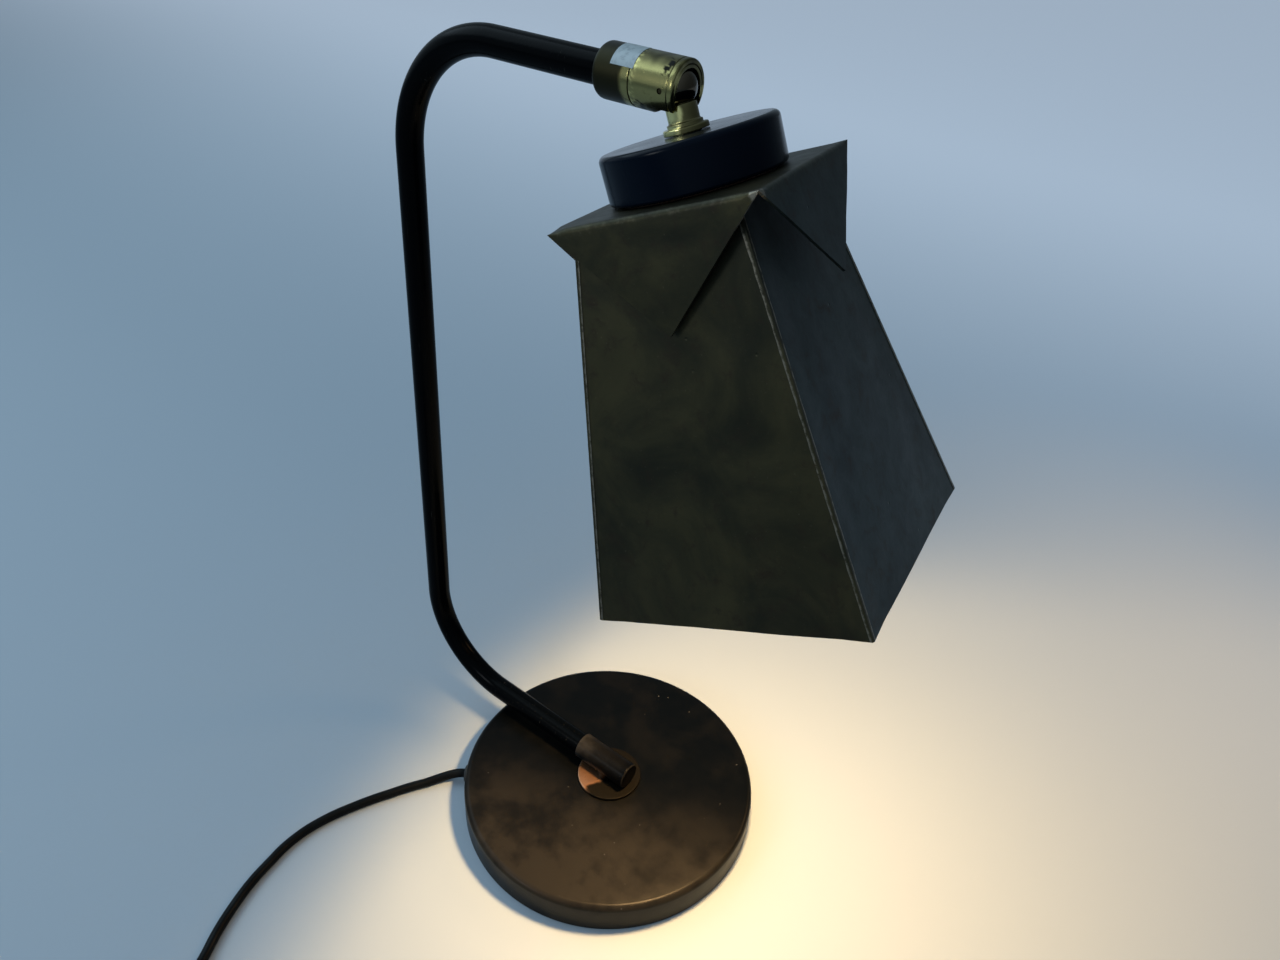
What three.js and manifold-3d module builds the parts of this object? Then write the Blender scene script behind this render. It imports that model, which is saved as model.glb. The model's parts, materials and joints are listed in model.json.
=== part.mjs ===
// Desk lamp: a round weighted foot, a bent steel tube, a brass swivel-ball joint and a four-sided metal
// shade under a folded crown plate and a round cap.
//
// Millimetres, +Z up. The origin is the centre of the foot's underside. The arm is bent in the plane
// y = 0: its upright stands on the -X side and the head hangs from the top on the +X side.

import * as THREE from "three";
import { mergeVertices } from "three/addons/utils/BufferGeometryUtils.js";
import Module from "manifold-3d";

const wasm = await Module();
wasm.setup();

// ---------------------------------------------------------------- fits

const GAP = 0.3; // between faces that touch in the real lamp
const HOLE_FIT = 0.35; // radial, round a shank in its hole
const BALL_FIT = 0.45; // radial, round the ball in its housing
const SLOT_FIT = 0.4; // at each side of the neck in the housing's slot

// ---------------------------------------------------------------- foot

const BASE_R = 80;
const BASE_TOP = 18.7; // height of the foot's top face
const SHELL_WALL = 1.2;
const SHELL_EDGE_R = 3.2; // rounding of the shell's top edge
const SHELL_LIFT = 0.8; // the shell's rim stands this far off the table
const FELT_T = 1.4;
const FELT_INSET = 6;
const PLATE_T = 1.2;
const PLATE_INSET = 4.5;
const WEIGHT_WEB = 5; // iron left above the pocket
const WEIGHT_CHAMFER = 2.6;
const POCKET_R = 30;
const PLATE_SCREWS = 3;
const PLATE_SCREW_R = 1.8;
const PLATE_SCREW_HEAD_R = 3.4;
const PLATE_SCREW_HEAD_T = 0.9;
const PLATE_SCREW_BITE = 6; // length in the iron
const PLATE_SCREW_INSET = 23.5; // from the bottom plate's edge to the screws

// ---------------------------------------------------------------- threaded stem, M10 x 1

const NIPPLE_R = 4.95;
const NIPPLE_BORE_R = 3.4;
const NIPPLE_TAIL = 0.6; // of a nipple, beyond its nut or ring
const NIPPLE_BITE = 3; // thread length in the sleeve's boss
const NUT_FLATS = 14;
const NUT_H = 3;
const LOCK_WASHER_R = 8.2;
const LOCK_WASHER_T = 1;
const FOOT_WASHER_R = 17.5;
const FOOT_WASHER_T = 1.5;
const FOOT_WASHER_BEVEL = 0.5;

// ---------------------------------------------------------------- arm

const TUBE_R = 6;
const TUBE_WALL = 1.2;
const BOSS_H = 7.7; // from the washer to the arm's axis
const BOSS_R = 6.6;
const SLEEVE_R = 7;
const SLEEVE_BEVEL = 0.6;
const SLEEVE_FRONT = 13.5; // the sleeve's closed end, in front of the stem
const SLEEVE_BACK = 19.5; // its open end, behind the stem
const SLEEVE_SEAT = 12.2; // how deep the tube sits in it
const FOOT_RUN = 83; // from the stem to the lower bend
const LOW_BEND_R = 49.6;
const LEAN = 1.1; // degrees that the upright leans forwards
const UPRIGHT = 255.7; // straight length between the bends
const TOP_BEND_R = 52.9;
const TOP_RUN = 55.1; // from the upper bend to the joint's back face
const WIRE_R = 1.6;

// ---------------------------------------------------------------- joint, along its axis from the ball

const BALL_R = 7.25;
const HOUSING_WALL = 1.9;
const MOUTH_REACH = 5; // the mouth's rim in front of the ball's centre
const MOUTH_LIP_T = 1;
const MOUTH_LIP_FIT = 0.35; // round the ball where the lip starts
const MOUTH_LIP_SLOPE = 0.6;
const RIM_ROUND = 0.9;
const SPIGOT_LENGTH = 2; // the collar's thread inside the housing
const SPIGOT_WALL = 1;
const COLLAR_SEAT = 7; // how deep the tube sits in the collar
const COLLAR_WALL_T = 4; // the threaded wall behind the lock ring
const LOCK_CHAMBER = 5; // length of the chamber that holds the lock ring
const END_NIPPLE_R = 4.3;
const END_NIPPLE_BORE_R = 2.6;
const END_NIPPLE_INSERT = 11; // length inside the tube
const LOCK_RING_T = 3;
const LOCK_RING_WALL = 1.4;
const CUP_T = 1.9;
const CUP_BORE_R = 3.2;
const SPRING_LENGTH = 3.2;
const SPRING_WIRE_R = 0.5;
const SPRING_TURNS = 2.2;
const SIDE_SCREW_R = 0.7;
const SIDE_SCREW_SINK = 0.2; // below the housing's surface

// ---------------------------------------------------------------- pose of the head, degrees

const TURN = 1.5; // of the joint on the arm's thread
const TILT = 22.2; // of the neck, forwards from straight down
const SPIN = 9.3; // of the head about its neck

// ---------------------------------------------------------------- neck and cap, down from the ball

const BALL_FLAT = 5.4; // from the ball's centre to its flat
const NECK_R = 5.1;
const NECK_ROOT_R = 5.6;
const NECK_FLARE = 2; // length over which the neck widens to its root
const NECK_RING_R = 6.4;
const NECK_RING_T = 1.2;
const FLANGE_R = 8;
const FLANGE_T = 2;
const NECK_SPIGOT_R = 3;
const NECK_SPIGOT = 7.5; // length of the spigot in the ball
const NECK_BORE_R = 2;
const CAP_DROP = 15; // from the ball's centre to the cap's top
const CAP_R = 31.6;
const CAP_H = 16.9;
const CAP_TOP_T = 3;
const CAP_WALL = 2.5;
const CAP_ROUND = 2.2;
const CAP_FOOT_ROUND = 1.2;
const CAP_RING_H = 6;
const CAP_RING_WALL = 4.5;
const CAP_STAND = 0.8; // of the cap's foot above the crown plate

// ---------------------------------------------------------------- crown plate and shade

const SHEET_T = 1;
const CROWN_SIDE = 80;
const SHADE_TOP_SIDE = 61.2;
const SHADE_BOTTOM_SIDE = 110.2;
const SHADE_LENGTH = 145.3;
const SHADE_TOP_SHIFT = { x: -1, y: -4 }; // the shade is soldered on a little off centre
const SHADE_BOTTOM_SHIFT = { x: -0.8, y: -0.7 };
const SHADE_TAB = 12; // width of the tabs folded in under the crown plate
const SHADE_SEAM = 0.15; // half of the joint between two panels

// One folded flap on each side: its length, and how far its tip stands off the shade.
const RIGHT_FLAP = { length: 37.2, lift: 9.3 };
const BACK_FLAP = { length: 40, lift: 3.2 };
const LEFT_FLAP = { length: 40, lift: 2.4 };
const FRONT_FLAP = { length: 41, lift: 0.3 };

// ---------------------------------------------------------------- clamp, lampholder and bulb

const CLAMP_DISC_R = 24.5;
const CLAMP_DISC_T = 1.5;
const NECK_NUT_H = 4;
const NECK_TAIL = 7; // thread below the nut, for the lampholder
const HOLDER_R = 14;
const HOLDER_DOME_H = 14;
const HOLDER_SKIRT_H = 30;
const HOLDER_WALL = 1.6;
const INSERT_T = 9;
const SOCKET_WALL = 0.7;
const SOCKET_H = 18;
const CONTACT_T = 1.2;
const CONTACT_R = 3.2;
const BULB_CAP_R = 6.9;
const BULB_CAP_H = 17;
const BULB_TIP_R = 3.2;
const BULB_TIP_H = 1.4;
const BULB_R = 22.5;
const BULB_NECK_R = 8.2;
const BULB_NECK_H = 8; // from the bulb's cap to the round part
const BULB_SHOULDER = 60; // degrees above the round part's widest ring, where the neck meets it
const GLASS_T = 1;

// ---------------------------------------------------------------- mains cord and what is on it

const CORD_R = 2.5;
const CORD_ANGLE = 213; // degrees round the foot, where the cord leaves it
const CORD_EXIT_Z = 6;
const GROMMET_R = 3.9;
const GROMMET_FLANGE_R = 4.8;
const GROMMET_FLANGE_T = 1.7;
const BLOCK_LENGTH = 8;
const BLOCK_WIDTH = 16;
const BLOCK_H = 7.5;
const CLAMP_LENGTH = 6;
const CLAMP_WIDTH = 16;
const CLAMP_SCREW_R = 1.3;
const CLAMP_SCREW_BITE = 2.5;

// From the foot to the switch, over the table.
const CORD_START = [
  [-74.6, -49.3, 4.9],
  [-79.0, -55.0, 3.4],
  [-82.7, -61.2, 2.6],
  [-88.1, -70.4, 2.5],
  [-92.8, -79.7, 2.5],
  [-97.4, -89.1, 2.5],
  [-101.4, -98.6, 2.5],
  [-104.5, -106.8, 2.5],
  [-106.8, -114.9, 2.5],
  [-108.3, -122.7, 2.5],
  [-108.8, -130.4, 2.5],
  [-108.5, -138.0, 2.5],
  [-107.2, -145.6, 2.5],
  [-104.6, -158.6, 2.5],
  [-100.3, -171.4, 2.5],
  [-94.6, -184.4, 2.5],
  [-87.2, -197.2, 2.8],
  [-82.1, -205.7, 4.6],
  [-78.2, -212.2, 6.3],
];
const SWITCH_CENTRE = { x: -60.3, y: -242.3 };
const SWITCH_HEADING = -59.3; // degrees, the way the cord runs through the switch
const SWITCH_LENGTH = 60;
const SWITCH_WIDTH = 24;
const SWITCH_BASE_H = 7;
const SWITCH_COVER_H = 7.5;
const SWITCH_WALL = 1.6;
const SWITCH_CORNER_R = 8;
const ROCKER_LENGTH = 20;
const ROCKER_WIDTH = 11;
const ROCKER_RISE = 2.4; // above the cover
const ROCKER_DEPTH = 5; // below the cover's top
const ROCKER_FIT = 0.8; // round the rocker in its window
const ROCKER_PIN_R = 1;
const ROCKER_TILT = 7; // degrees, switched on
const COIL_MEAN_R = 30;
const COIL_COLUMNS = 4;
const COIL_LAYERS = 2;
const COIL_PITCH = 5.1;
const COIL_APPROACH = 33; // from the switch to where the cord joins the coil's outer turn
const PORT_DEPTH = 3; // how deep a cord goes into the switch and the plug
const CORD_IN_PORT = 5; // straight length of its end there
const PLUG_CENTRE = { x: 40.4, y: -172 };
const PLUG_HEADING = 94; // degrees, the way its pins point
const PLUG_LENGTH = 34;
const PLUG_WIDTH = 34;
const PLUG_H = 13.6;
const PLUG_SQUARE = 8; // length of its full width behind the pins
const PLUG_TAPER = 12; // how far from the cord its sides start to swell
const PIN_R = 2;
const PIN_LENGTH = 19;
const PIN_SEAT = 4; // depth of a pin in the plug's body
const PIN_SPACING = 18.6;

// From the switch to the coil: how far beyond the switch, and how high.
const CORD_MIDDLE = [
  { reach: 7, z: 5.4 },
  { reach: 13, z: 3.4 },
];

// From the coil's upper layer down to the table and to the plug.
const CORD_END = [
  [41.9, -257.1, 6.6],
  [41.9, -249.1, 5.4],
  [41.9, -241.1, 4.1],
  [41.9, -233.1, 3.0],
  [41.9, -225.1, 2.5],
  [41.9, -217.1, 2.5],
  [41.9, -209.6, 3.0],
  [41.9, -202.6, 4.4],
  [41.8, -196.6, 5.9],
];

// ---------------------------------------------------------------- shape helpers

const SIDES = 40; // of the large round pieces
const SMALL_SIDES = 24;
const TUBE_SIDES = 20;
const CORD_SIDES = 10;
const rad = THREE.MathUtils.degToRad;

// A closed geometry as a manifold-3d solid, turned so that its faces point out.
function solidOf(geometry) {
  const bare = new THREE.BufferGeometry();
  bare.setAttribute("position", geometry.getAttribute("position"));
  bare.setIndex(geometry.getIndex());
  const merged = mergeVertices(bare, 1e-4);
  const xyz = merged.getAttribute("position").array;
  const index = merged.getIndex().array;
  const faces = [];
  let volume = 0;
  const [a, b, c] = [new THREE.Vector3(), new THREE.Vector3(), new THREE.Vector3()];
  for (let i = 0; i < index.length; i += 3) {
    const [p, q, r] = index.slice(i, i + 3);
    if (p === q || q === r || r === p) continue;
    faces.push(p, q, r);
    a.fromArray(xyz, p * 3);
    b.fromArray(xyz, q * 3);
    c.fromArray(xyz, r * 3);
    volume += a.dot(b.cross(c));
  }
  if (volume < 0) faces.reverse();
  const mesh = new wasm.Mesh({ numProp: 3, vertProperties: xyz, triVerts: new Uint32Array(faces) });
  return new wasm.Manifold(mesh);
}

// A manifold-3d solid as a three.js geometry.
function geometryOf(solid) {
  const mesh = solid.getMesh();
  const geometry = new THREE.BufferGeometry();
  const positions = new THREE.BufferAttribute(new Float32Array(mesh.vertProperties), 3);
  geometry.setAttribute("position", positions);
  geometry.setIndex(new THREE.BufferAttribute(new Uint32Array(mesh.triVerts), 1));
  const flat = geometry.toNonIndexed();
  flat.computeVertexNormals();
  return flat;
}

const join = (first, ...rest) => rest.reduce((sum, solid) => sum.add(solid), first);
const cut = (first, ...rest) => rest.reduce((left, solid) => left.subtract(solid), first);

// A solid of revolution about Z from a closed outline of [radius, z] points.
function turned(outline, sides = SIDES) {
  const points = [...outline, outline[0]].map(([r, z]) => new THREE.Vector2(r, z));
  return solidOf(new THREE.LatheGeometry(points, sides).rotateX(Math.PI / 2));
}

// The same about X, from [radius, x] points.
function turnedX(outline, sides = SMALL_SIDES) {
  const points = [...outline, outline[0]].map(([r, x]) => new THREE.Vector2(r, x));
  return solidOf(new THREE.LatheGeometry(points, sides).rotateZ(-Math.PI / 2));
}

// The same about the neck, from [radius, drop] points: drop is measured down from the ball's centre.
const turnedDown = (outline, sides) => turned(outline.map(([r, drop]) => [r, -drop]), sides);

// A quarter round between two directions given in degrees, as [radius, z] points.
function arc(centreR, centreZ, radius, from, to, steps = 4) {
  return Array.from({ length: steps + 1 }, (_, i) => {
    const angle = rad(from + ((to - from) * i) / steps);
    return [centreR + radius * Math.cos(angle), centreZ + radius * Math.sin(angle)];
  });
}

const ring = (inner, outer, low, high) => [
  [inner, low],
  [outer, low],
  [outer, high],
  [inner, high],
];

// A cylinder along Z.
const rod = (radius, low, high, sides = SMALL_SIDES) => turned(ring(0, radius, low, high), sides);

function box(low, high) {
  const size = high.map((value, i) => value - low[i]);
  const middle = high.map((value, i) => (value + low[i]) / 2);
  return solidOf(new THREE.BoxGeometry(...size).translate(...middle));
}

// A hexagon nut on Z, measured across its flats.
function hexNut(flats, bore, low, high) {
  const corner = flats / Math.sqrt(3);
  return cut(rod(corner, low, high, 6), rod(bore, low - 1, high + 1));
}

function sphere(radius, sides = SMALL_SIDES) {
  const half = arc(0, 0, radius, -90, 90, sides / 2);
  half[0][0] = 0;
  half[half.length - 1][0] = 0;
  return turned(half, sides);
}

// A rectangle with round corners, as a shape centred on the origin.
function roundedRectangle(length, width, corner) {
  const [x, y] = [length / 2, width / 2];
  const shape = new THREE.Shape();
  shape.moveTo(x - corner, -y);
  shape.absarc(x - corner, -y + corner, corner, -Math.PI / 2, 0);
  shape.absarc(x - corner, y - corner, corner, 0, Math.PI / 2);
  shape.absarc(-x + corner, y - corner, corner, Math.PI / 2, Math.PI);
  shape.absarc(-x + corner, -y + corner, corner, Math.PI, 1.5 * Math.PI);
  return shape;
}

// The point at a distance from another one, on the table.
function stepFrom(from, heading, distance) {
  const turn = rad(heading);
  return { x: from.x + distance * Math.cos(turn), y: from.y + distance * Math.sin(turn) };
}

// A shape extruded along Z between two heights.
function slab(shape, low, high, curveSegments = 5) {
  const options = { depth: high - low, bevelEnabled: false, curveSegments };
  return solidOf(new THREE.ExtrudeGeometry(shape, options).translate(0, 0, low));
}

// A solid with eight corners: four round its one end, then the four that face them.
function hexahedron(corners) {
  const geometry = new THREE.BufferGeometry();
  geometry.setAttribute("position", new THREE.Float32BufferAttribute(corners.flat(), 3));
  const quads = [
    [3, 2, 1, 0],
    [4, 5, 6, 7],
    [0, 1, 5, 4],
    [1, 2, 6, 5],
    [2, 3, 7, 6],
    [3, 0, 4, 7],
  ];
  geometry.setIndex(quads.flatMap(([a, b, c, d]) => [a, b, c, a, c, d]));
  return solidOf(geometry);
}

// A curve that is sampled exactly at its stations, so that a bend gets them where it needs them.
class StationCurve extends THREE.Curve {
  constructor(stations) {
    super();
    this.stations = stations;
    this.steps = stations.length - 1;
  }

  getPoint(t, target = new THREE.Vector3()) {
    const i = Math.min(Math.floor(t * this.steps + 1e-6), this.steps - 1);
    return target.lerpVectors(this.stations[i], this.stations[i + 1], t * this.steps - i);
  }

  getPointAt(t, target) {
    return this.getPoint(t, target);
  }

  getTangentAt(t, target = new THREE.Vector3()) {
    const i = Math.round(t * this.steps);
    const before = this.stations[Math.max(i - 1, 0)];
    const here = this.stations[i];
    const after = this.stations[Math.min(i + 1, this.steps)];
    const arriving = here.clone().sub(before).normalize();
    const leaving = after.clone().sub(here).normalize();
    return target.addVectors(arriving, leaving).normalize();
  }
}

// A round bar along a list of stations.
function swept(stations, radius, sides) {
  const curve = new StationCurve(stations);
  const section = new THREE.Shape();
  for (let i = 0; i < sides; i++) {
    const angle = (2 * Math.PI * i) / sides;
    const point = [radius * Math.cos(angle), radius * Math.sin(angle)];
    if (i === 0) section.moveTo(...point);
    else section.lineTo(...point);
  }
  const options = { steps: curve.steps, extrudePath: curve, bevelEnabled: false };
  return solidOf(new THREE.ExtrudeGeometry(section, options));
}

// Stations every so often along a smooth curve through hand-chosen points.
function stationsThrough(points, spacing) {
  const vectors = points.map((point) => new THREE.Vector3(...point));
  const curve = new THREE.CatmullRomCurve3(vectors, false, "centripetal");
  return curve.getSpacedPoints(Math.ceil(curve.getLength() / spacing));
}

// A route in the plane y = 0 that is made of straights and bends.
class PlaneRoute {
  constructor(x, z, heading) {
    this.x = x;
    this.z = z;
    this.heading = heading;
    this.stations = [new THREE.Vector3(x, 0, z)];
  }

  mark() {
    this.stations.push(new THREE.Vector3(this.x, 0, this.z));
  }

  straight(length, steps = 1) {
    for (let i = 0; i < steps; i++) {
      this.x += (length / steps) * Math.cos(rad(this.heading));
      this.z += (length / steps) * Math.sin(rad(this.heading));
      this.mark();
    }
    return this;
  }

  // Turns clockwise by a number of degrees.
  bend(radius, degrees, steps = 10) {
    const centreX = this.x + radius * Math.sin(rad(this.heading));
    const centreZ = this.z - radius * Math.cos(rad(this.heading));
    const start = this.heading;
    for (let i = 1; i <= steps; i++) {
      this.heading = start - (degrees * i) / steps;
      this.x = centreX - radius * Math.sin(rad(this.heading));
      this.z = centreZ + radius * Math.cos(rad(this.heading));
      this.mark();
    }
    return this;
  }
}

// ---------------------------------------------------------------- scene graph

const lamp = new THREE.Group();

const finish = (color, roughness, metalness) =>
  new THREE.MeshStandardMaterial({ color, roughness, metalness });

const blackLacquer = () => finish(0x17191a, 0.35, 0.3);
const castIron = () => finish(0x3b3a38, 0.8, 0.6);
const steel = () => finish(0x9a9da0, 0.35, 0.9);
const brass = () => finish(0x9c8a4a, 0.35, 0.9);
const darkBrass = () => finish(0x4a4230, 0.45, 0.8);
const patina = () => finish(0x3b382c, 0.5, 0.7);
const copperBrass = () => finish(0xb27a3c, 0.35, 0.9);
const navyGloss = () => finish(0x0d1524, 0.15, 0);
const blackPlastic = () => finish(0x141414, 0.5, 0);
const darkRubber = () => finish(0x1b1b1c, 0.75, 0);
const feltGreen = () => finish(0x27362c, 0.95, 0);
const ceramic = () => finish(0xe6e1d6, 0.4, 0);
const fibre = () => finish(0x6b2f22, 0.8, 0);
const opalGlass = () => finish(0xfff1d8, 0.3, 0);

function piece(name, solid, material, parent = lamp) {
  const mesh = new THREE.Mesh(geometryOf(solid), material);
  mesh.name = name;
  parent.add(mesh);
  return mesh;
}

function group(parent) {
  const made = new THREE.Group();
  parent.add(made);
  return made;
}

// ---------------------------------------------------------------- foot

const plateLow = FELT_T + GAP;
const weightLow = plateLow + PLATE_T + GAP;
const weightTop = BASE_TOP - SHELL_WALL - GAP;
const pocketTop = weightTop - WEIGHT_WEB;
const weightR = BASE_R - SHELL_WALL - HOLE_FIT;
const stemHoleR = NIPPLE_R + HOLE_FIT;
const channelHalf = GROMMET_R + GAP;

// Reaches along the cord's direction: the clamp, the terminal block, and the cord's start in the grommet.
const clampOuter = POCKET_R - 1.8;
const clampInner = clampOuter - CLAMP_LENGTH;
const blockStart = clampInner - 2.5 - BLOCK_LENGTH;
const cordStart = BASE_R - 1;

// A group whose +X is the way the cord leaves the foot.
const cordSide = group(lamp);
cordSide.rotation.z = rad(CORD_ANGLE);
const aboutFoot = (solid) => solid.rotate([0, 0, CORD_ANGLE]);

function baseShell() {
  const wall = SHELL_WALL;
  const innerR = BASE_R - wall;
  const innerEdge = SHELL_EDGE_R - wall;
  const outline = [
    [innerR, SHELL_LIFT],
    [BASE_R, SHELL_LIFT],
    ...arc(BASE_R - SHELL_EDGE_R, BASE_TOP - SHELL_EDGE_R, SHELL_EDGE_R, 0, 90),
    [stemHoleR, BASE_TOP],
    [stemHoleR, BASE_TOP - wall],
    ...arc(innerR - innerEdge, BASE_TOP - SHELL_EDGE_R, innerEdge, 90, 0, 2),
  ];
  const hole = turnedX(ring(0, GROMMET_R + GAP, BASE_R - 6, BASE_R + 6));
  return cut(turned(outline, 48), aboutFoot(hole.translate([0, 0, CORD_EXIT_Z])));
}

function baseWeight() {
  const outline = [
    [stemHoleR, pocketTop],
    [POCKET_R, pocketTop],
    [POCKET_R, weightLow],
    [weightR, weightLow],
    [weightR, weightTop - WEIGHT_CHAMFER],
    [weightR - WEIGHT_CHAMFER, weightTop],
    [stemHoleR, weightTop],
  ];
  const channelTop = CORD_EXIT_Z + channelHalf;
  const channel = box([POCKET_R - 5, -channelHalf, weightLow - 1], [BASE_R, channelHalf, channelTop]);
  const screwHoles = plateScrewPlaces().map(([x, y]) => {
    const depth = weightLow + PLATE_SCREW_BITE + 1;
    return rod(PLATE_SCREW_R + HOLE_FIT, weightLow - 1, depth, 12).translate([x, y, 0]);
  });
  const clampHoles = clampScrewPlaces().map(([x, y]) => {
    const hole = rod(CLAMP_SCREW_R + GAP, pocketTop - 1, pocketTop + CLAMP_SCREW_BITE + 0.6, 10);
    return aboutFoot(hole.translate([x, y, 0]));
  });
  return cut(turned(outline), aboutFoot(channel), ...screwHoles, ...clampHoles);
}

function plateScrewPlaces() {
  const reach = BASE_R - PLATE_INSET - PLATE_SCREW_INSET;
  return Array.from({ length: PLATE_SCREWS }, (_, i) => {
    const angle = rad(CORD_ANGLE + 180 / PLATE_SCREWS + (360 * i) / PLATE_SCREWS);
    return [reach * Math.cos(angle), reach * Math.sin(angle)];
  });
}

function bottomPlate() {
  const disc = rod(BASE_R - PLATE_INSET, plateLow, plateLow + PLATE_T, SIDES);
  const holes = plateScrewPlaces().map(([x, y]) =>
    rod(PLATE_SCREW_HEAD_R + GAP, plateLow - 1, plateLow + PLATE_T + 1, 12).translate([x, y, 0]),
  );
  return cut(disc, ...holes);
}

function plateScrew([x, y]) {
  const headLow = plateLow;
  const headTop = headLow + PLATE_SCREW_HEAD_T;
  const head = rod(PLATE_SCREW_HEAD_R, headLow, headTop, 12);
  const shank = rod(PLATE_SCREW_R, headLow, weightLow + PLATE_SCREW_BITE, 12);
  return join(head, shank).translate([x, y, 0]);
}

piece("base_shell", baseShell(), blackLacquer());
piece("base_weight", baseWeight(), castIron());
piece("bottom_plate", bottomPlate(), steel());
plateScrewPlaces().forEach((place, i) => piece(`plate_screw_${i + 1}`, plateScrew(place), steel()));
piece("felt_pad", rod(BASE_R - FELT_INSET, 0, FELT_T, SIDES), feltGreen());

// ---------------------------------------------------------------- stem

const washerLow = BASE_TOP + GAP;
const washerTop = washerLow + FOOT_WASHER_T;
const bossLow = washerTop + GAP;
const footAxisZ = washerTop + GAP + BOSS_H;
const nippleTop = bossLow + NIPPLE_BITE;
const lockWasherTop = pocketTop - GAP;
const lockWasherLow = lockWasherTop - LOCK_WASHER_T;
const footNutTop = lockWasherLow - GAP;
const footNutLow = footNutTop - NUT_H;
const nippleLow = footNutLow - NIPPLE_TAIL;

const footWasherOutline = [
  [stemHoleR, washerLow],
  [FOOT_WASHER_R, washerLow],
  [FOOT_WASHER_R, washerTop - FOOT_WASHER_BEVEL],
  [FOOT_WASHER_R - FOOT_WASHER_BEVEL, washerTop],
  [stemHoleR, washerTop],
];

piece("foot_nipple", turned(ring(NIPPLE_BORE_R, NIPPLE_R, nippleLow, nippleTop), SMALL_SIDES), steel());
piece("foot_nut", hexNut(NUT_FLATS, stemHoleR, footNutLow, footNutTop), steel());
const lockWasherOutline = ring(stemHoleR, LOCK_WASHER_R, lockWasherLow, lockWasherTop);
piece("lock_washer", turned(lockWasherOutline, SMALL_SIDES), steel());
piece("foot_washer", turned(footWasherOutline), copperBrass());

// ---------------------------------------------------------------- arm

const tubeBoreR = TUBE_R - TUBE_WALL;
const tubeStart = -(SLEEVE_BACK - SLEEVE_SEAT) - GAP;

function armRoute() {
  return new PlaneRoute(tubeStart, footAxisZ, 180)
    .straight(FOOT_RUN + tubeStart)
    .bend(LOW_BEND_R, 90 + LEAN, 12)
    .straight(UPRIGHT)
    .bend(TOP_BEND_R, 90 - LEAN, 12)
    .straight(TOP_RUN);
}

const jointBackFace = armRoute();

// Stations of the joint, each measured back from the ball's centre.
const cupFront = NECK_R + SLOT_FIT; // behind the neck when the head hangs straight down
const cupBack = cupFront + CUP_T;
const spigotFront = cupBack + 2 * GAP + SPRING_LENGTH;
const housingBack = spigotFront + SPIGOT_LENGTH;
const collarFront = housingBack + GAP;
const lockChamberBack = collarFront + LOCK_CHAMBER;
const tubeSeatFront = lockChamberBack + COLLAR_WALL_T;
const jointBack = tubeSeatFront + COLLAR_SEAT;
const endNippleFront = lockChamberBack - LOCK_RING_T - GAP - NIPPLE_TAIL;
const ballCentre = new THREE.Vector3(jointBackFace.x + jointBack, 0, jointBackFace.z);

function footSleeve() {
  const socketR = TUBE_R + GAP;
  const body = turnedX([
    [0, -SLEEVE_BACK],
    [SLEEVE_R - SLEEVE_BEVEL, -SLEEVE_BACK],
    [SLEEVE_R, -SLEEVE_BACK + SLEEVE_BEVEL],
    [SLEEVE_R, SLEEVE_FRONT - SLEEVE_BEVEL],
    [SLEEVE_R - SLEEVE_BEVEL, SLEEVE_FRONT],
    [0, SLEEVE_FRONT],
  ]).translate([0, 0, footAxisZ]);
  const boss = rod(BOSS_R, bossLow, footAxisZ);
  const seatEnd = -SLEEVE_BACK + SLEEVE_SEAT;
  const socket = turnedX(ring(0, socketR, -SLEEVE_BACK - 1, seatEnd)).translate([0, 0, footAxisZ]);
  const stemHole = rod(stemHoleR, bossLow - 1, nippleTop + GAP);
  const wireUp = rod(NIPPLE_BORE_R, bossLow, footAxisZ);
  const passage = turnedX(ring(0, NIPPLE_BORE_R, seatEnd - 1, NIPPLE_BORE_R));
  return cut(join(body, boss), socket, stemHole, wireUp, passage.translate([0, 0, footAxisZ]));
}

function armTube() {
  const outer = swept(armRoute().straight(COLLAR_SEAT - GAP).stations, TUBE_R, TUBE_SIDES);
  const inner = new PlaneRoute(tubeStart + 1, footAxisZ, 180)
    .straight(FOOT_RUN + tubeStart + 1)
    .bend(LOW_BEND_R, 90 + LEAN, 12)
    .straight(UPRIGHT)
    .bend(TOP_BEND_R, 90 - LEAN, 12)
    .straight(TOP_RUN + COLLAR_SEAT + 1);
  return cut(outer, swept(inner.stations, tubeBoreR, TUBE_SIDES));
}

// The wire comes from the terminal block, up the stem, along the arm and out of its end nipple.
function armWire() {
  const underStem = weightLow + WIRE_R + 0.2;
  const cornerR = 3;
  const out = new THREE.Vector3(Math.cos(rad(CORD_ANGLE)), Math.sin(rad(CORD_ANGLE)), 0);
  const at = (reach, z) => out.clone().multiplyScalar(reach).setZ(z);
  const stations = [at(blockStart - GAP, underStem), at(cornerR, underStem)];
  for (let i = 1; i <= 5; i++) {
    const angle = (Math.PI / 2) * (i / 5);
    const reach = cornerR * (1 - Math.sin(angle));
    stations.push(at(reach, underStem + cornerR * (1 - Math.cos(angle))));
  }
  const turnR = 5;
  const upper = new PlaneRoute(0, footAxisZ - turnR, 90);
  for (let i = 1; i <= 5; i++) {
    const angle = (Math.PI / 2) * (i / 5);
    upper.x = -turnR * (1 - Math.cos(angle));
    upper.z = footAxisZ - turnR * (1 - Math.sin(angle));
    upper.mark();
  }
  const along = armRoute().straight(jointBack - endNippleFront).stations;
  return swept([...stations, ...upper.stations, ...along], WIRE_R, 8);
}

// ---------------------------------------------------------------- joint

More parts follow.
